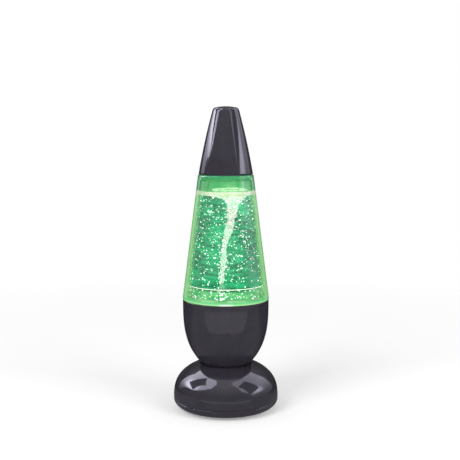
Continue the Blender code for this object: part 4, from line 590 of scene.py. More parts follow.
def give_surface(tree, shader):
    add(tree, "ShaderNodeOutputMaterial", {"Surface": shader})


def surfaced(material, tree, inputs):
    """The material with one surface of these values."""
    give_surface(tree, add(tree, "ShaderNodeBsdfPrincipled", inputs).outputs[0])
    return material


def glowing(colour, strength):
    """The values of a surface that also gives off its colour as light."""
    return {"Base Color": colour, "Emission Color": colour, "Emission Strength": strength}


def noise(tree, place, pattern):
    """A soft noise with the size, detail and stretch of a named pattern."""
    size, detail, stretch = PATTERNS[pattern]
    drawn = add(tree, "ShaderNodeMapping", {"Vector": place, "Scale": [1 / s for s in stretch]})
    return add(tree, "ShaderNodeTexNoise", {"Vector": drawn.outputs[0], "Scale": 1 / size,
                                            "Detail": detail}).outputs["Fac"]


def cells(tree, place, size, feature):
    """Round cells of one size: their value rises from the middle to the edge."""
    return add(tree, "ShaderNodeTexVoronoi", {"Vector": place, "Scale": 1 / size},
               feature=feature).outputs["Distance"]


def axes_of(tree, place):
    return add(tree, "ShaderNodeSeparateXYZ", {"Vector": place}).outputs


def math_of(tree, operation, *values):
    """One step of arithmetic on numbers or sockets."""
    return add(tree, "ShaderNodeMath", dict(enumerate(values)), operation=operation).outputs[0]


def spread(tree, value, low, high, out_low=0, out_high=1):
    """Maps a range of values to another, held at its ends."""
    return add(tree, "ShaderNodeMapRange", {"Value": value, 1: low, 2: high, 3: out_low,
                                            4: out_high}).outputs[0]


def beyond(tree, value, edge, fade=END_FADE):
    """1 beyond an edge and 0 before it: a fade below zero looks the other way."""
    return spread(tree, value, edge, edge + fade)


def blend(tree, share, first, second):
    """A colour that goes from the first to the second as the share goes from 0 to 1. Each is a
    hex value or a socket."""
    first, second = (linear(c) if isinstance(c, str) else c for c in (first, second))
    return add(tree, "ShaderNodeMix", {0: share, 6: first, 7: second},
               data_type="RGBA").outputs[2]


def mixed(tree, share, first, second):
    """A shader that goes from the first to the second as the share goes from 0 to 1."""
    return add(tree, "ShaderNodeMixShader", {0: share, 1: first, 2: second}).outputs[0]


def bumped(tree, height, pattern):
    """A surface normal moved by a height pattern as deep as its name says."""
    return add(tree, "ShaderNodeBump", {"Height": height, "Strength": 1,
                                        "Distance": DEPTHS[pattern]}).outputs["Normal"]


def gloss_abs():
    """ABS, injection moulded in a polished tool: near black with a cold violet cast, a mirror
    gloss, the faint orange peel of a thick moulding and a film of handling marks."""
    material, tree, place = new_material("gloss_abs")
    marks = noise(tree, place, "marks")
    worn = math_of(tree, "MULTIPLY", marks, noise(tree, place, "dust"))
    return surfaced(material, tree, {
        "Base Color": blend(tree, spread(tree, marks, 0.35, 0.7), "#312e37", "#36333c"),
        "Roughness": spread(tree, worn, 0.15, 0.4, 0.04, 0.12),
        "IOR": ABS_IOR,
        "Normal": bumped(tree, noise(tree, place, "peel"), "peel"),
    })


def satin_abs():
    """ABS, moulded in a spark-eroded tool: dark grey with a fine even grain that scatters its
    gloss. The grain is drawn at 0.4 mm, coarser than the real one, so that it shows."""
    material, tree, place = new_material("satin_abs")
    grain = cells(tree, place, GRAIN_SIZE, "SMOOTH_F1")
    return surfaced(material, tree, {
        "Base Color": blend(tree, noise(tree, place, "grey_clouds"), "#2c2c2e", "#363638"),
        "Roughness": spread(tree, grain, 0, 0.6, 0.42, 0.6),
        "IOR": ABS_IOR,
        "Normal": bumped(tree, grain, "grain"),
    })


def clear_styrene():
    """Polystyrene, injection moulded clear: hardly there seen straight on, pale green where the
    wall turns away, with faint flow lines round it."""
    material, tree, place = new_material("clear_styrene")
    facing = add(tree, "ShaderNodeLayerWeight", {"Blend": 0.5}).outputs["Facing"]
    edge = spread(tree, facing, 0.5, 0.72)
    flow = noise(tree, place, "flow")
    return surfaced(material, tree, {
        "Base Color": blend(tree, edge, "#d8f2da", "#7ccb7e"),
        "Roughness": spread(tree, flow, 0.3, 0.7, 0.03, 0.08),
        "IOR": STYRENE_IOR,
        "Alpha": spread(tree, edge, 0, 1, 0.04, 0.6),
        "Normal": bumped(tree, flow, "flow"),
    })


def globe_styrene():
    """The globe's polystyrene, clear and polished: its wall pipes the lamp's light, so it glows
    yellow-green where it turns away, teal over the level, and palest along its foot, most of all
    where the light of two lamps meets. Its skin mirrors more the flatter it is seen."""
    material, tree, place = new_material("globe_styrene")
    axes = axes_of(tree, place)
    height = axes["Z"]
    facing = add(tree, "ShaderNodeLayerWeight", {"Blend": 0.5}).outputs["Facing"]
    side = spread(tree, facing, 0.49, 0.72)
    shoulder = beyond(tree, height, SHOULDER_GLOW_Z)
    foot = beyond(tree, height, FOOT_GLOW_Z, -END_FADE)
    rim = beyond(tree, height, RIM_GLOW_Z, -END_FADE)
    around = math_of(tree, "ARCTAN2", axes["Y"], axes["X"])
    wave = math_of(tree, "COSINE", math_of(tree, "MULTIPLY", around, LIGHT_COUNT))
    meeting = math_of(tree, "MULTIPLY", rim, spread(tree, wave, 0.7, 1))
    # Painted light by height: a pale band at the water line where the light is thrown back, teal
    # over the level and under the shoulder, a paler glowing foot and rim, and near-white painted
    # highlights where the lights meet
    colour = "#90d88c"
    for share, next_colour in (
            (beyond(tree, height, WATER_LINE_LOW_Z), "#ccdcba"),
            (beyond(tree, height, LIQUID_TOP_Z), "#349a60"),
            (shoulder, "#34985e"),
            (foot, "#66cc88"),
            (rim, "#a8e6a0"),
            (meeting, "#f4fff4")):
        colour = blend(tree, share, colour, next_colour)
    dense = math_of(tree, "MAXIMUM", side, math_of(tree, "ADD", shoulder, foot))
    flow = noise(tree, place, "flow")
    wall = add(tree, "ShaderNodeBsdfPrincipled", {
        **glowing(colour, 0.25),
        "Roughness": spread(tree, flow, 0.3, 0.7, 0.03, 0.08),
        "IOR": STYRENE_IOR,
        "Alpha": spread(tree, dense, 0, 1, 0.03, 0.76),
        "Normal": bumped(tree, flow, "flow"),
    }).outputs[0]
    mirror = add(tree, "ShaderNodeBsdfGlossy", {"Roughness": 0.04}).outputs[0]
    fresnel = add(tree, "ShaderNodeFresnel", {"IOR": STYRENE_IOR}).outputs[0]
    give_surface(tree, mixed(tree, spread(tree, fresnel, 0, 1, 0, 0.2), wall, mirror))
    return material


def dyed_water():
    """Dyed water lit from below: green with clouds of teal where it turns slower, seen through
    as a tint, and drawn out sideways by the stirring."""
    material, tree, place = new_material("dyed_water")
    swirl = noise(tree, place, "swirl")
    mix = math_of(tree, "ADD", noise(tree, place, "teal_clouds"), swirl)
    colour = blend(tree, spread(tree, mix, 0.82, 1.18), "#006a4e", "#24be80")
    return surfaced(material, tree, {
        **glowing(colour, 0.25),
        "Roughness": spread(tree, swirl, 0.3, 0.7, 0.08, 0.2),
        "IOR": WETTED_IOR,
        "Alpha": 0.8,
    })


def lit_water():
    """The same dyed water under the guard, close over the lights: painted paler and yellower by
    their light, with a thin band of painted shade under the guard's top."""
    material, tree, place = new_material("lit_water")
    swirl = noise(tree, place, "low_swirl")
    pale = blend(tree, spread(tree, swirl, 0.35, 0.65), "#20a868", "#6ed284")
    # Painted shade: a darker teal band just under the guard's top
    shade = beyond(tree, axes_of(tree, place)["Z"], GUARD_SHADE_Z)
    return surfaced(material, tree, {
        **glowing(blend(tree, shade, pale, "#10885c"), 0.35),
        "Roughness": 0.15,
        "IOR": WETTED_IOR,
        "Alpha": 0.8,
    })


def lit_styrene():
    """The clear floor over the light board: it takes the light full on and spreads it, pale
    green with the board's lights as brighter pools."""
    material, tree, place = new_material("lit_styrene")
    pools = spread(tree, noise(tree, place, "pools"), 0.4, 0.6)
    return surfaced(material, tree, {
        **glowing(blend(tree, pools, "#78c088", "#b4e6b8"), 0.3),
        "Roughness": 0.12,
        "IOR": STYRENE_IOR,
        "Alpha": 0.75,
    })


def wet_film():
    """The film of dyed water that the stirring leaves on the globe's wall above the level:
    thinner and more even than the body, darker towards the cap's shade."""
    material, tree, place = new_material("wet_film")
    runs = noise(tree, place, "runs")
    wet = blend(tree, spread(tree, runs, 0.35, 0.65), "#4eb86e", "#84ce8c")
    shade = spread(tree, axes_of(tree, place)["Z"], LIQUID_TOP_Z, SHOULDER_Z)
    return surfaced(material, tree, {
        **glowing(blend(tree, shade, wet, "#50ae6e"), 0.25),
        "Roughness": spread(tree, runs, 0.3, 0.7, 0.08, 0.2),
        "IOR": WETTED_IOR,
        "Alpha": 0.66,
    })


def foam():
    """Air drawn into the liquid: a churned skin of bubbles that scatters the light white, with
    ragged streaks along the turn of the funnel."""
    material, tree, place = new_material("foam")
    streaks = noise(tree, place, "streaks")
    bubbles = cells(tree, place, BUBBLE_SIZE, "F1")
    lit = spread(tree, streaks, 0.35, 0.62)
    return surfaced(material, tree, {
        **glowing(blend(tree, lit, "#f2e8e0", "#fff0ee"), 2.3),
        "Roughness": spread(tree, bubbles, 0, 0.6, 0.25, 0.5),
        "Alpha": spread(tree, streaks, 0.28, 0.45, 0.8, 1),
        "Normal": bumped(tree, bubbles, "bubbles"),
    })


def lit_surface(name, strength):
    """Dyed water at its surface, where the light from below is thrown back along the wall and
    the lip of the funnel: a pale yellow-green, broken by small ripples."""
    material, tree, place = new_material(name)
    ripples = noise(tree, place, "ripples")
    colour = blend(tree, spread(tree, ripples, 0.35, 0.65), "#b6d8a2", "#e6ecd8")
    return surfaced(material, tree, {
        **glowing(colour, strength),
        "Roughness": 0.2,
        "IOR": WETTED_IOR,
        "Alpha": 0.92,
        "Normal": bumped(tree, ripples, "ripples"),
    })


def glitter_film(name, strength):
    """Polyester film, metallised and die-cut to hexagons: each flake throws the light of the
    lamp as a white spark, and its film has a slight diffraction tint."""
    material, tree, place = new_material(name)
    colour = blend(tree, noise(tree, place, "tint"), "#eafff4", "#fffdf0")
    return surfaced(material, tree, {
        **glowing(colour, strength), "Metallic": 0.6, "Roughness": 0.25})


def lit_edge():
    """Clear polystyrene where it pipes the light to an edge: a pale bright line."""
    material, tree, place = new_material("lit_edge")
    colour = blend(tree, noise(tree, place, "beads"), "#bfe8c2", "#f0fff0")
    return surfaced(material, tree, {
        **glowing(colour, 0.95), "Roughness": 0.2, "IOR": STYRENE_IOR})


def plated_steel(name, light, dark, roughness):
    """Steel, turned or stamped and then plated: a grey metal with fine tool lines and the
    plating's slight cloudiness."""
    material, tree, place = new_material(name)
    lines = noise(tree, place, "tool_lines")
    return surfaced(material, tree, {
        "Base Color": blend(tree, noise(tree, place, "plating"), dark, light),
        "Metallic": 1,
        "Roughness": spread(tree, lines, 0.3, 0.7, roughness - TOOL_LINE_SWING,
                            roughness + TOOL_LINE_SWING),
        "Normal": bumped(tree, lines, "tool_lines"),
    })


def acetal():
    """Acetal, moulded white: waxy, slightly see-through at thin edges, with a soft sheen."""
    material, tree, place = new_material("acetal")
    mottle = noise(tree, place, "mottle")
    return surfaced(material, tree, {
        "Base Color": blend(tree, mottle, "#dedcd6", "#eceae4"),
        "Roughness": spread(tree, mottle, 0.3, 0.7, 0.3, 0.42),
        "IOR": 1.48,
        "Normal": bumped(tree, mottle, "mottle"),
    })


def solder_mask():
    """Glass-fibre board under green solder mask: the cloth's 0.5 mm weave shows through the
    lacquer as a faint check."""
    material, tree, place = new_material("solder_mask")
    weave = add(tree, "ShaderNodeTexChecker", {"Vector": place, "Scale": 1 / WEAVE_SIZE})
    return surfaced(material, tree, {
        "Base Color": blend(tree, weave.outputs["Fac"], "#1b5a30", "#226838"),
        "Roughness": spread(tree, noise(tree, place, "lacquer"), 0.3, 0.7, 0.25, 0.4),
        "IOR": 1.5,
    })


def led_epoxy():
    """Epoxy, cast clear round the light's chip: a bright core in a glassy dome."""
    material, tree, place = new_material("led_epoxy")
    colour = blend(tree, noise(tree, place, "haze"), "#c9f5d2", "#efffee")
    return surfaced(material, tree, {
        **glowing(colour, 1.0), "Roughness": 0.08, "IOR": 1.54, "Alpha": 0.85})


def cell_sleeve():
    """A shrink sleeve on an alkaline cell: a satin grey film that turns copper towards both
    ends, and the plain steel ends that it leaves open."""
    material, tree, place = new_material("cell_sleeve")
    reach = math_of(tree, "ABSOLUTE", axes_of(tree, place)["X"])
    steel = beyond(tree, reach, CELL_SLEEVE_REACH, CELL_PRINT_FADE)
    band = beyond(tree, reach, CELL_BAND_REACH, CELL_PRINT_FADE)
    film = blend(tree, noise(tree, place, "print"), "#34363a", "#3c3e43")
    printed = blend(tree, band, film, "#a8683c")
    return surfaced(material, tree, {
        "Base Color": blend(tree, steel, printed, "#b9b9bc"),
        "Metallic": spread(tree, steel, 0, 1, 0.3, 1),
        "Roughness": spread(tree, noise(tree, place, "wear"), 0.3, 0.7, 0.26, 0.4),
    })


def soft_rubber():
    """Nitrile rubber, moulded: matt black, slightly dusty, with a fine grain."""
    material, tree, place = new_material("soft_rubber")
    grain = noise(tree, place, "rubber_grain")
    return surfaced(material, tree, {
        "Base Color": blend(tree, grain, "#1e1e1f", "#2c2c2d"),
        "Roughness": spread(tree, grain, 0.3, 0.7, 0.7, 0.9),
        "Normal": bumped(tree, grain, "rubber_grain"),
    })


def lead_vinyl(name, light, dark):
    """Vinyl drawn over a stranded lead: a satin skin with slight ripples along it."""
    material, tree, place = new_material(name)
    ripples = noise(tree, place, "lead_ripples")
    return surfaced(material, tree, {
        "Base Color": blend(tree, ripples, dark, light),
        "Roughness": 0.38,
        "Normal": bumped(tree, ripples, "lead_ripples"),
    })


looks = {made.__name__: made() for made in (
    gloss_abs, satin_abs, clear_styrene, globe_styrene, dyed_water, lit_water, lit_styrene,
    wet_film, foam, lit_edge, acetal, solder_mask, led_epoxy, cell_sleeve, soft_rubber)}
looks.update({
    # One glitter film at four glow strengths: painted brighter sparks in the cloud and round the
    # vortex, dimmer ones at the wall and the foot
    "glitter_wall": glitter_film("glitter_at_wall", 1.45),
    "glitter_cloud": glitter_film("glitter_in_cloud", 4.2),
    "glitter_vortex": glitter_film("glitter_at_vortex", 4.0),
    "glitter_foot": glitter_film("glitter_at_foot", 1.4),
    "water_line": lit_surface("water_line", 0.4),
    "funnel_lip": lit_surface("funnel_lip", 6.0),
    "zinc_plated_steel": plated_steel("zinc_plated_steel", "#c4c6ca", "#aeb0b5", 0.3),
    "nickel_plated_magnet": plated_steel("nickel_plated_magnet", "#d0cdc6", "#bdbab3", 0.16),
    "red_vinyl": lead_vinyl("red_vinyl", "#b4231f", "#981a18"),
    "black_vinyl": lead_vinyl("black_vinyl", "#242425", "#1b1b1c"),
})

SLOT_LOOKS = {
    "black_plastic": "gloss_abs",
    "dark_plastic": "satin_abs",
    "clear_plastic": "clear_styrene",
    "liquid": "dyed_water",
    "white_plastic": "acetal",
    "steel": "zinc_plated_steel",
    "magnet": "nickel_plated_magnet",
    "board": "solder_mask",
    "led": "led_epoxy",
    "cell_sleeve": "cell_sleeve",
    "rubber": "soft_rubber",
    "red_lead": "red_vinyl",
    "black_lead": "black_vinyl",
}


def dress(piece, look):
    piece.data.materials.clear()
    piece.data.materials.append(looks[look])


def place(piece, look, body, slot, *nodes):
    """Gives a piece its look, its body and the CAD nodes that it stands for. Its slot argument is
    not used.
    """
    dress(piece, look)
    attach(piece, body)
    if nodes:
        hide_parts(*nodes)


def dress_cad_nodes():
    """Every CAD node gets the look of its slot."""
    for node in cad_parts.values():
        for slot in node.material_slots:
            slot.material = looks[SLOT_LOOKS[slot.material.name.split(".")[0]]]


# The pieces

def make_cap():
    place(turned("cap_moulding", cap_outline()), "gloss_abs", "root", "black_plastic", "cap")


def make_globe():
    globe = turned("globe_moulding", globe_outline())
    place(globe, "globe_styrene", "root", "clear_plastic", "globe")
    floor = turned("globe_floor_moulding", globe_floor_outline())
    place(floor, "lit_styrene", "root", "clear_plastic", "globe_floor")


def post(name, radius, reach, angle, top_z):
    """A moulded screw post from the cup's underside up, with a pilot hole in its top."""
    middle = (reach * math.cos(angle), reach * math.sin(angle), (CUP_BOTTOM_Z + top_z) / 2)
    bpy.ops.object.select_all(action="DESELECT")
    bpy.ops.mesh.primitive_cylinder_add(vertices=POST_SIDES, radius=radius,
                                        depth=top_z - CUP_BOTTOM_Z, location=middle)
    piece = start_piece(name)
    select_faces(piece, lambda face: face.normal.z > LEVEL_ENOUGH)
    bpy.ops.mesh.inset(thickness=radius - PILOT_RADIUS)
    bpy.ops.mesh.extrude_region_move(TRANSFORM_OT_translate={"value": (0, 0, -PILOT_DEPTH)})
    return finish_piece(piece)


def select_faces(piece, wanted):
    """Selects the faces of the piece in edit mode that pass a test."""
    bpy.ops.mesh.select_all(action="DESELECT")
    bpy.ops.mesh.select_mode(type="FACE")
    shape = bmesh.from_edit_mesh(piece.data)
    for face in shape.faces:
        face.select_set(wanted(face))
    bmesh.update_edit_mesh(piece.data)


def make_cup():
    """The cup, and inside it the posts for the bracket and the bosses over the neck screws. A
    core keeps only what of them lies inside the cup and half its wall."""
    cup = turned("cup_moulding", cup_outline())
    posts = []
    for i in range(POST_COUNT):
        angle = HALF_TURN / 2 + FULL_TURN * i / POST_COUNT
        posts.append(post(f"cup_post_{i + 1}", POST_RADIUS, POST_REACH, angle, POST_TOP_Z))
        posts.append(post(f"cup_boss_{i + 1}", BOSS_RADIUS, BOSS_REACH, -angle, BOSS_TOP_Z))
    posts = join(*posts)
    sink = CUP_WALL / 2
    low_z = CUP_FLOOR_Z - sink
    core = turned("cup_core", [(0, low_z)] + cup_inside(sink, low_z) + [(0, RIM_Z)])
    cut(posts, core, "INTERSECT")
    place(join(cup, posts), "gloss_abs", "root", "black_plastic", "body_shell")


def fine_copy(node, name, radius_at, is_skin):
    """A copy of a turned CAD node with its outer skin cut finer and drawn to the true curve."""
    piece = copied(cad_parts[node], name)
    piece.parent = None
    pick(piece)
    bpy.ops.object.mode_set(mode="EDIT")
    bpy.ops.mesh.select_all(action="SELECT")
    bpy.ops.mesh.remove_doubles(threshold=MERGE_DISTANCE)
    select_faces(piece, lambda face: all(is_skin(vert.co) for vert in face.verts))
    bpy.ops.mesh.subdivide(number_cuts=SKIN_CUTS)
    shape = bmesh.from_edit_mesh(piece.data)
    for vert in shape.verts:
        if vert.select:
            around = math.hypot(vert.co.x, vert.co.y)
            share = radius_at(vert.co.z) / around
            vert.co.x *= share
            vert.co.y *= share
    bmesh.update_edit_mesh(piece.data)
    bpy.ops.mesh.select_all(action="DESELECT")
    bpy.ops.object.mode_set(mode="OBJECT")
    smooth(piece)
    return piece


def dome_radius(z):
    """Radius of the foot's outside at a height: the dome, or the quarter ellipse of its edge."""
    if z <= PARTING_Z:
        drop = min(1, max(0, (WIDEST_Z - z) / (WIDEST_Z - UNDERSIDE_Z)))
        return FLAT_RADIUS + (DOME_RADIUS - FLAT_RADIUS) * math.sqrt(1 - drop ** 2)
    rise, roundness = DOME_EXPONENTS
    share = min(1, (z - WIDEST_Z) / DOME_HEIGHT)
    return DOME_RADIUS * (1 - share ** rise) ** (1 / roundness)


def on_dome(point):
    return abs(math.hypot(point.x, point.y) - dome_radius(point.z)) < SKIN_TOLERANCE


def on_plate_edge(point):
    around = math.hypot(point.x, point.y)
    low = point.z > UNDERSIDE_Z + SKIN_TOLERANCE or around > FLAT_RADIUS - SKIN_TOLERANCE
    return low and point.z < PARTING_Z and abs(around - dome_radius(point.z)) < SKIN_TOLERANCE


def make_foot():
    dome = fine_copy("base_shell", "foot_moulding", dome_radius, on_dome)
    place(dome, "gloss_abs", "root", "black_plastic", "base_shell")
    plate = fine_copy("base_plate", "foot_plate_moulding", dome_radius, on_plate_edge)
    place(plate, "gloss_abs", "root", "black_plastic", "base_plate")


def loft(name, rings, radius_at):
    """A closed loft through level rings: radius_at gives a ring's radius at an angle."""
    verts = []
    faces = []
    for i, (middle, radius) in enumerate(rings):
        for j in range(VORTEX_SIDES):
            angle = FULL_TURN * j / VORTEX_SIDES
            reach = radius_at(i, radius, angle)
            verts.append((middle.x + reach * math.cos(angle),
                          middle.y + reach * math.sin(angle), middle.z))
            if i > 0:
                k = (j + 1) % VORTEX_SIDES
                row = i * VORTEX_SIDES
                above = row - VORTEX_SIDES
                faces.append((above + j, row + j, row + k, above + k))
    faces.append(tuple(range(VORTEX_SIDES)))
    faces.append(tuple(reversed(range(len(verts) - VORTEX_SIDES, len(verts)))))
    mesh = bpy.data.meshes.new(name)
    mesh.from_pydata(verts, [], faces)
    piece = shown(name, mesh)
    pick(piece)
    bpy.ops.object.mode_set(mode="EDIT")
    return finish_piece(piece)


def off_wall(z, gap=LIQUID_GAP):
    """A place (radius, height) in the globe, a gap off its wall."""
    return (globe_inner(z) - gap, z)


def make_liquid():
    """The body of liquid over the guard, with the room for the vortex cut out of it."""
    guard_room_z = GUARD_TOP_Z + LIQUID_GAP
    top = off_wall(LIQUID_TOP_Z)
    bottom = off_wall(guard_room_z)
    outline = [(0, LIQUID_TOP_Z), top, *even_steps(top, bottom), bottom, (0, guard_room_z)]
    liquid = turned("liquid_body", outline, looped=False)
    rings = [(middle, radius * (1 - ridge_depth(i)))
             for i, (middle, radius) in enumerate(vortex_rings(-FOAM_SKIN))]
    first, radius = rings[0]
    rings.insert(0, (first + Vector((0, 0, CUT_OVERRUN)), radius))
    cut(liquid, loft("funnel_cutter", rings, lambda i, r, angle: r))
    smooth(liquid)
    place(liquid, "dyed_water", "root", "liquid", "liquid")


def make_liquid_under_guard():
    inner = GUARD_RADIUS - GUARD_WALL - LIQUID_GAP
    low_z = FLOOR_Z + LIQUID_GAP
    high_z = GUARD_TOP_Z - GUARD_WALL - LIQUID_GAP
    pool = turned("liquid_under_guard", [(0, high_z), (inner, high_z), (inner, low_z), (0, low_z)],
                  looped=False)
    place(pool, "lit_water", "root", "liquid")


def make_water_line():
    """The bright line where the liquid meets the wall."""
    half_gap = LIQUID_GAP / 2
    line = turned("water_line", [
        off_wall(LIQUID_TOP_Z, half_gap),
        off_wall(WATER_LINE_LOW_Z, half_gap),
        off_wall(WATER_LINE_LOW_Z),
        off_wall(LIQUID_TOP_Z),
    ])
    place(line, "water_line", "root", "liquid")


def make_vortex_collar():
    """The raised lip of the liquid round the vortex's mouth, glowing bright: a painted highlight
    of the light thrown back at the mouth.
    """
    collar = turned("vortex_collar", COLLAR_OUTLINE)
    collar.data.transform(Matrix.Translation((*COLLAR_MIDDLE, 0)))
    place(collar, "funnel_lip", "root", "liquid")


def make_wet_film():
    """The film on the wall above the level, and across under the globe's shoulder."""
    neck = neck_outer(SHOULDER_Z) - GLOBE_WALL
    inside = LIQUID_GAP + FILM_THICKNESS
    low_z = FILM_TOP_Z - FILM_THICKNESS
    film = turned("wet_film", [
        off_wall(LIQUID_TOP_Z),
        off_wall(FILM_TOP_Z),
        (neck, FILM_TOP_Z),
        (neck, low_z),
        (off_wall(FILM_TOP_Z, inside)[0], low_z),
        off_wall(LIQUID_TOP_Z, inside),
    ])
    place(film, "wet_film", "root", "liquid")


def make_vortex():
    def ridged(i, radius, angle):
        height = i / VORTEX_RINGS
        depth = ridge_depth(i) / len(RIDGE_COUNTS)
        wave = 0
        for count, turns in zip(RIDGE_COUNTS, RIDGE_TURNS):
            wave += math.sin(count * angle + turns * FULL_TURN * height)
        return radius * (1 + depth * wave)
    vortex = loft("vortex_funnel", vortex_rings(), ridged)
    place(vortex, "foam", "root", "liquid")


def make_guard():
    """The clear cage over the impeller: slots in its top, windows round its wall."""
    inner = GUARD_RADIUS - GUARD_WALL
    ceiling = GUARD_TOP_Z - GUARD_WALL
    guard = turned("guard_moulding", [
        (GUARD_EYE_RADIUS, GUARD_TOP_Z - GUARD_EDGE),
        (GUARD_EYE_RADIUS + GUARD_EDGE, GUARD_TOP_Z),
        (GUARD_RADIUS - GUARD_EDGE, GUARD_TOP_Z),
        (GUARD_RADIUS, GUARD_TOP_Z - GUARD_EDGE),
        (GUARD_RADIUS, GUARD_FOOT_Z),
        (inner, GUARD_FOOT_Z),
        (inner, ceiling),
        (GUARD_EYE_RADIUS, ceiling),
    ])
    half_slot = GUARD_SLOT_WIDTH / 2
    slot = block("guard_slot", (GUARD_EYE_RADIUS + GUARD_SLOT_MARGIN, -half_slot,
                                ceiling - CUT_OVERRUN),
                 (inner - GUARD_SLOT_MARGIN, half_slot, GUARD_TOP_Z + CUT_OVERRUN))
    half_window = GUARD_WINDOW_WIDTH / 2
    window = block("guard_window", (inner - CUT_OVERRUN, -half_window, GUARD_WINDOW_LOW_Z),
                   (GUARD_RADIUS + CUT_OVERRUN, half_window, GUARD_WINDOW_HIGH_Z))
    ring_of(slot, GUARD_SLOT_COUNT)
    ring_of(window, GUARD_SLOT_COUNT, HALF_TURN / GUARD_SLOT_COUNT)
    cut(guard, slot)
    cut(guard, window)
    smooth(guard)
    place(guard, "clear_styrene", "root", "clear_plastic", "impeller_guard")


def make_guard_bead():
    """The rounded bead round the guard's top: the clear edge that pipes the light."""
    bead = turned("guard_bead", list(arc((GUARD_RADIUS - BEAD_RADIUS, GUARD_TOP_Z - BEAD_RADIUS),
                                         BEAD_RADIUS, -HALF_TURN, HALF_TURN))[:-1])
    place(bead, "lit_edge", "root", "clear_plastic")


def flake_place(group, dice, path):
    """Where one flake lies and how it is turned: at the wall, round the vortex or anywhere, or
    low down, where some hang together under the vortex's foot."""
    at_wall = group in ("glitter_wall", "glitter_foot")
    low_z = GLITTER_FOOT_Z if at_wall else GUARD_TOP_Z + CUT_OVERRUN
    z = dice.uniform(low_z, GLITTER_TOPS[group])
    angle = dice.uniform(0, FULL_TURN)
    if group == "glitter_foot" and dice.random() < TAIL_SHARE:
        angle = dice.gauss(TAIL_ANGLE, TAIL_SPREAD)
    middle, radius = min(path, key=lambda ring: abs(ring[0].z - z))
    centre = Vector((0, 0, z))
    if at_wall:
        reach = globe_inner(z) - LIQUID_GAP / 2
        tilt = Matrix.Rotation(HALF_TURN / 2, 4, "X")
        turn = Matrix.Rotation(angle + HALF_TURN / 2, 4, "Z")
    else:
        tilt = Matrix.Rotation(dice.gauss(HALF_TURN / 2, FLAKE_WOBBLE), 4, "X")
        turn = Matrix.Rotation(dice.uniform(0, FULL_TURN), 4, "Z")
        reach = (globe_inner(z) - FLAKE_WALL_GAP) * math.sqrt(dice.random())
    if group == "glitter_vortex":
        centre = Vector((middle.x, middle.y, z))
        reach = radius + abs(dice.gauss(0, FLAKE_CLOUD_DEPTH))
    spot = centre + Vector((reach * math.cos(angle), reach * math.sin(angle), 0))
    inside = math.hypot(spot.x, spot.y) < globe_inner(z)
    return spot, turn @ tilt, inside and (spot - middle).length > radius


def make_glitter():
    """Flakes at the wall, through the whole liquid, in a cloud round the vortex and low down."""
    dice = random.Random(GLITTER_SEED)
    path = vortex_rings()
    for name, count in GLITTER_COUNTS.items():
        bpy.ops.object.select_all(action="DESELECT")
        bpy.ops.mesh.primitive_circle_add(vertices=FLAKE_SIDES, radius=FLAKE_RADIUS,
                                          fill_type="NGON")
        flake = start_piece(name)
        bpy.ops.mesh.select_all(action="SELECT")
        bpy.ops.mesh.extrude_region_move(
            TRANSFORM_OT_translate={"value": (0, 0, FLAKE_THICKNESS)})
        finish_piece(flake)
        flakes = []
        while len(flakes) < count:
            spot, turn, free = flake_place(name, dice, path)
            if not free:
                continue
            size = dice.uniform(*FLAKE_SIZES)
            stretch = Matrix.Diagonal((dice.choice(FLAKE_STRETCHES), 1, 1, 1))
            twin = copied(flake, f"{name}_{len(flakes) + 1}")
            twin.data.transform(Matrix.Translation(spot) @ turn @ stretch
                                @ Matrix.Scale(size, 4))
            flakes.append(twin)
        first = flakes.pop()
        join(first, *flakes)
        bpy.data.objects.remove(flake)
        first.name = name
        place(first, name, "root", "liquid")


# The studio

CAMERA_DISTANCE = 694.4 * MM
CAMERA_HEIGHT = 218 * MM
CAMERA_PITCH = math.radians(6.705)
CAMERA_FOCAL_SHARE = 930.4 / 460
CAMERA_SHIFT_SHARE = 4.2 / 460
SENSOR_WIDTH = 36

WORLD_LEVEL = 0.45
FLOOR_RADIUS = 4.0
FLOOR_FADE_START = 0.18
FLOOR_FADE_END = 0.6
FLOOR_LIFT = 0.3
FLOOR_IN_GLOSS = ("#8e8e8e", "#303030")
FLOOR_IN_GLOSS_FADE = 80 * MM

# The light tent that the gloss shows: its middle, its dim cloth, and its two lit walls with the
# lamp heads before them, as corners (azimuth from the front, elevation) seen from that middle
TENT_MIDDLE = Vector((0, 0, 60 * MM))
TENT_RADIUS = 1.6
TENT_SHELL_RADIUS = 1.6 * TENT_RADIUS
TENT_RISE = (15, 62)
TENT_LEVELS = (0.14, 0.9)
TENT_BACK_REACH = 0.7
TENT_BACK_SHARE = 0.5
TENT_WALLS = {
    "left_tent_wall": (
        (-95, 32), ((-151, 41), (-138, 39), (-133, 23), (-132, 6), (-125, -4), (-118, 3),
                    (-112, 9), (-101, 16), (-88, 18), (-76, 22), (-61, 30), (-42, 45),
                    (-40, 66), (-72, 76), (-114, 65), (-135, 54))),
    "right_tent_wall": (
        (90, 32), ((145, 45), (135, 40), (128, 20), (128, 1), (113, -6), (88, -6), (60, 4),
                   (51, 20), (40, 31), (28, 68), (45, 75), (100, 68), (132, 58))),
}
WALL_RISE = (5, 34)
SECOND_GLOSS_SHARE = 0.05
LAMP_HEADS = {
    "left_lamp_head": ((-95, 32), ((-112, 30), (-114, 63), (-67, 52), (-79, 40), (-82, 20))),
    "right_lamp_head": ((90, 32), ((89, 62), (89, 26), (54, 13), (50, 39), (40, 54))),
}
LAMP_HEAD_DISTANCE = 0.95 * TENT_RADIUS
LAMP_HEAD_LEVEL = 0.25

# Each wall's hot spot, its peak and its radius in degrees, the rise at its foot, and the levels
TENT_GLOWS = {
    "left_tent_wall": ((-96, 25), 9, 26, (14, 21), (0.55, 5.4)),
    "right_tent_wall": ((79, 17), 4.8, 20, (10, 16), (0.45, 2.7)),
}

# A fan-shaped white card on the table before the lamp, as azimuths and distances from its axis
FRONT_CARD = ((-58, 0.42), (-30, 0.43), (0, 0.43), (30, 0.43), (58, 0.42), (45, 0.17), (0, 0.16),
              (-45, 0.17))
FRONT_CARD_LEVEL = 0.6
CARD_LIFT = 1 * MM

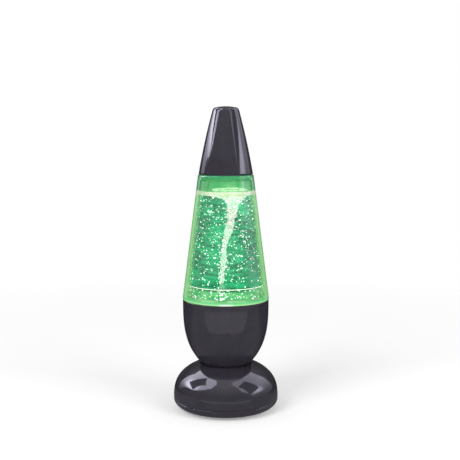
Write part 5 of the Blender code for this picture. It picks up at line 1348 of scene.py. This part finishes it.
# The softboxes over the table: place and power
SOFTBOXES = {
    "key_softbox": ((-0.9, -1.1, 1.3), 14),
    "fill_softbox": ((1.1, -0.9, 1.0), 8),
}
SOFTBOX_SIZE = 0.8
SOFTBOX_AIM = Vector((0, 0, 0.1))
CLEAR_DEPTH = 32


def make_camera():
    """Level with the globe's top and looking slightly down, as the lamp was seen."""
    lens = bpy.data.cameras.new("camera")
    lens.sensor_width = SENSOR_WIDTH
    lens.lens = SENSOR_WIDTH * CAMERA_FOCAL_SHARE
    lens.shift_x = CAMERA_SHIFT_SHARE
    camera = shown("camera", lens)
    camera.location = (0, -CAMERA_DISTANCE, CAMERA_HEIGHT)
    camera.rotation_euler = (HALF_TURN / 2 - CAMERA_PITCH, 0, 0)
    bpy.context.scene.camera = camera


def make_world():
    """A white backdrop for the eye and for reflections, and a softer grey that lights."""
    world = bpy.data.worlds.new("studio")
    bpy.context.scene.world = world
    world.use_nodes = True
    tree = world.node_tree
    tree.nodes.clear()
    rays = add(tree, "ShaderNodeLightPath").outputs
    seen = math_of(tree, "MAXIMUM", rays["Is Camera Ray"], rays["Is Glossy Ray"])
    seen = math_of(tree, "MAXIMUM", seen, rays["Is Transmission Ray"])
    strength = spread(tree, seen, 0, 1, WORLD_LEVEL, 1)
    back = add(tree, "ShaderNodeBackground", {"Color": (1, 1, 1, 1), "Strength": strength})
    add(tree, "ShaderNodeOutputWorld", {"Surface": back.outputs[0]})


def diffuse(tree, colour):
    return add(tree, "ShaderNodeBsdfDiffuse", {"Color": colour}).outputs[0]


def emission(tree, strength, colour="#ffffff"):
    return add(tree, "ShaderNodeEmission", {"Color": linear(colour),
                                            "Strength": strength}).outputs[0]


def make_floor():
    """A pale table that keeps the lamp's shadow and turns into the white backdrop. The lamp's
    gloss shows it as a grey cloth that is darker behind the lamp."""
    bpy.ops.object.select_all(action="DESELECT")
    bpy.ops.mesh.primitive_circle_add(vertices=TURN_STEPS, radius=FLOOR_RADIUS, fill_type="NGON")
    floor = bpy.context.object
    floor.name = "table"
    material, tree, place_on = new_material("pale_laminate")
    distance = add(tree, "ShaderNodeVectorMath", {0: place_on}, operation="LENGTH")
    far = spread(tree, distance.outputs["Value"], FLOOR_FADE_START, FLOOR_FADE_END)
    near = add(tree, "ShaderNodeAddShader", {0: diffuse(tree, linear("#f2f2f2")),
                                             1: emission(tree, FLOOR_LIFT)}).outputs[0]
    seen = mixed(tree, far, near, emission(tree, 1))
    behind = beyond(tree, axes_of(tree, place_on)["Y"], 0, FLOOR_IN_GLOSS_FADE)
    cloth = diffuse(tree, blend(tree, behind, *FLOOR_IN_GLOSS))
    in_gloss = add(tree, "ShaderNodeLightPath").outputs["Is Glossy Ray"]
    seen = mixed(tree, in_gloss, seen, cloth)
    below = add(tree, "ShaderNodeNewGeometry").outputs["Backfacing"]
    clear = add(tree, "ShaderNodeBsdfTransparent").outputs[0]
    give_surface(tree, mixed(tree, below, seen, clear))
    floor.data.materials.append(material)


def direction(azimuth, elevation):
    """The direction of a place seen from the tent's middle, in degrees from the front."""
    across = math.radians(azimuth)
    up = math.radians(elevation)
    return Vector((math.sin(across) * math.cos(up), -math.cos(across) * math.cos(up),
                   math.sin(up)))


def seen_in_gloss_only(piece):
    """Keeps a part of the tent out of the picture, the shadows and the even light."""
    piece.visible_camera = False
    piece.visible_diffuse = False
    piece.visible_transmission = False
    piece.visible_shadow = False


def panel(name, facing, corners, distance, material):
    """A flat sheet square to one direction, with its corners in the directions given."""
    normal = direction(*facing)
    rays = [direction(*corner) for corner in corners]
    sheet(name, [TENT_MIDDLE + ray * distance / ray.dot(normal) for ray in rays], material)


def sheet(name, places, material):
    """A flat sheet of the studio with its corners at the places given."""
    mesh = bpy.data.meshes.new(name)
    mesh.from_pydata(places, [], [tuple(range(len(places)))])
    mesh.materials.append(material)
    seen_in_gloss_only(shown(name, mesh))


def seen_from_middle(tree, place_on):
    """The direction of a place on the tent as seen from its middle."""
    from_middle = add(tree, "ShaderNodeVectorMath", {0: place_on, 1: TENT_MIDDLE},
                      operation="SUBTRACT").outputs[0]
    return add(tree, "ShaderNodeVectorMath", {0: from_middle}, operation="NORMALIZE").outputs[0]


def heights(elevations):
    """The heights on a ball one metre in radius at these elevations in degrees."""
    return [math.sin(math.radians(elevation)) for elevation in elevations]


def tent_cloth():
    """White nylon cloth, unlit: dim, a little lighter towards its top and darker at its back."""
    material, tree, place_on = new_material("tent_cloth")
    ray = axes_of(tree, seen_from_middle(tree, place_on))
    level = spread(tree, ray["Z"], *heights(TENT_RISE), *TENT_LEVELS)
    back = spread(tree, ray["Y"], 0, TENT_BACK_REACH, 1, TENT_BACK_SHARE)
    give_surface(tree, emission(tree, math_of(tree, "MULTIPLY", level, back)))
    return material


def plain_glow(name, strength):
    """A staged surface with an even glow: lacquered metal or white card out of the picture."""
    material, tree, _ = new_material(name)
    give_surface(tree, emission(tree, strength))
    return material


def lit_cloth(name, hot_spot, peak, spot_radius, foot, levels):
    """White nylon cloth with a lamp behind it: brightest before the lamp, fading to its foot.
    A gloss seen in another gloss nearly leaves it out."""
    material, tree, place_on = new_material(name)
    ray = seen_from_middle(tree, place_on)
    near = add(tree, "ShaderNodeVectorMath", {0: ray, 1: direction(*hot_spot)},
               operation="DOT_PRODUCT").outputs["Value"]
    height = axes_of(tree, ray)["Z"]
    hot = spread(tree, near, math.cos(math.radians(spot_radius)), 1, 0, peak)
    hot = math_of(tree, "MULTIPLY", hot, spread(tree, height, *heights(foot)))
    glow = math_of(tree, "ADD", hot, spread(tree, height, *heights(WALL_RISE), *levels))
    depth = add(tree, "ShaderNodeLightPath").outputs["Ray Depth"]
    once = spread(tree, depth, 1, 2, 1, SECOND_GLOSS_SHARE)
    give_surface(tree, emission(tree, math_of(tree, "MULTIPLY", glow, once), "#eeecff"))
    return material


def make_tent():
    """What the lamp's gloss mirrors: a dim tent, two lit walls and the lamp heads before them."""
    bpy.ops.object.select_all(action="DESELECT")
    bpy.ops.mesh.primitive_uv_sphere_add(radius=TENT_SHELL_RADIUS, location=TENT_MIDDLE)
    shell = bpy.context.object
    shell.name = "tent_shell"
    shell.data.materials.append(tent_cloth())
    seen_in_gloss_only(shell)
    dark = plain_glow("lamp_head_black", LAMP_HEAD_LEVEL)
    for name, (facing, corners) in TENT_WALLS.items():
        panel(name, facing, corners, TENT_RADIUS, lit_cloth(name + "_cloth", *TENT_GLOWS[name]))
    for name, (facing, corners) in LAMP_HEADS.items():
        panel(name, facing, corners, LAMP_HEAD_DISTANCE, dark)
    corners = [direction(azimuth, 0) * distance + Vector((0, 0, CARD_LIFT))
               for azimuth, distance in FRONT_CARD]
    sheet("front_card", corners, plain_glow("white_card", FRONT_CARD_LEVEL))


def make_lights():
    """Square area lamps aimed at one place on the lamp's axis, left out of its gloss."""
    for name, (spot, energy) in SOFTBOXES.items():
        light = bpy.data.lights.new(name, "AREA")
        light.size = SOFTBOX_SIZE
        light.energy = energy
        lamp = shown(name, light)
        lamp.location = spot
        lamp.rotation_euler = (SOFTBOX_AIM - Vector(spot)).to_track_quat("-Z", "Y").to_euler()
        lamp.visible_glossy = False


dress_cad_nodes()
make_camera()
make_world()
make_floor()
make_lights()
make_tent()
make_cap()
make_globe()
make_cup()
make_foot()
make_liquid()
make_liquid_under_guard()
make_water_line()
make_vortex_collar()
make_wet_film()
make_vortex()
make_guard()
make_guard_bead()
make_glitter()

# Clear pieces lie behind each other up to twenty deep, and a ray must reach the backdrop
bpy.context.scene.cycles.transparent_max_bounces = CLEAR_DEPTH
bpy.context.scene.view_settings.view_transform = "Standard"
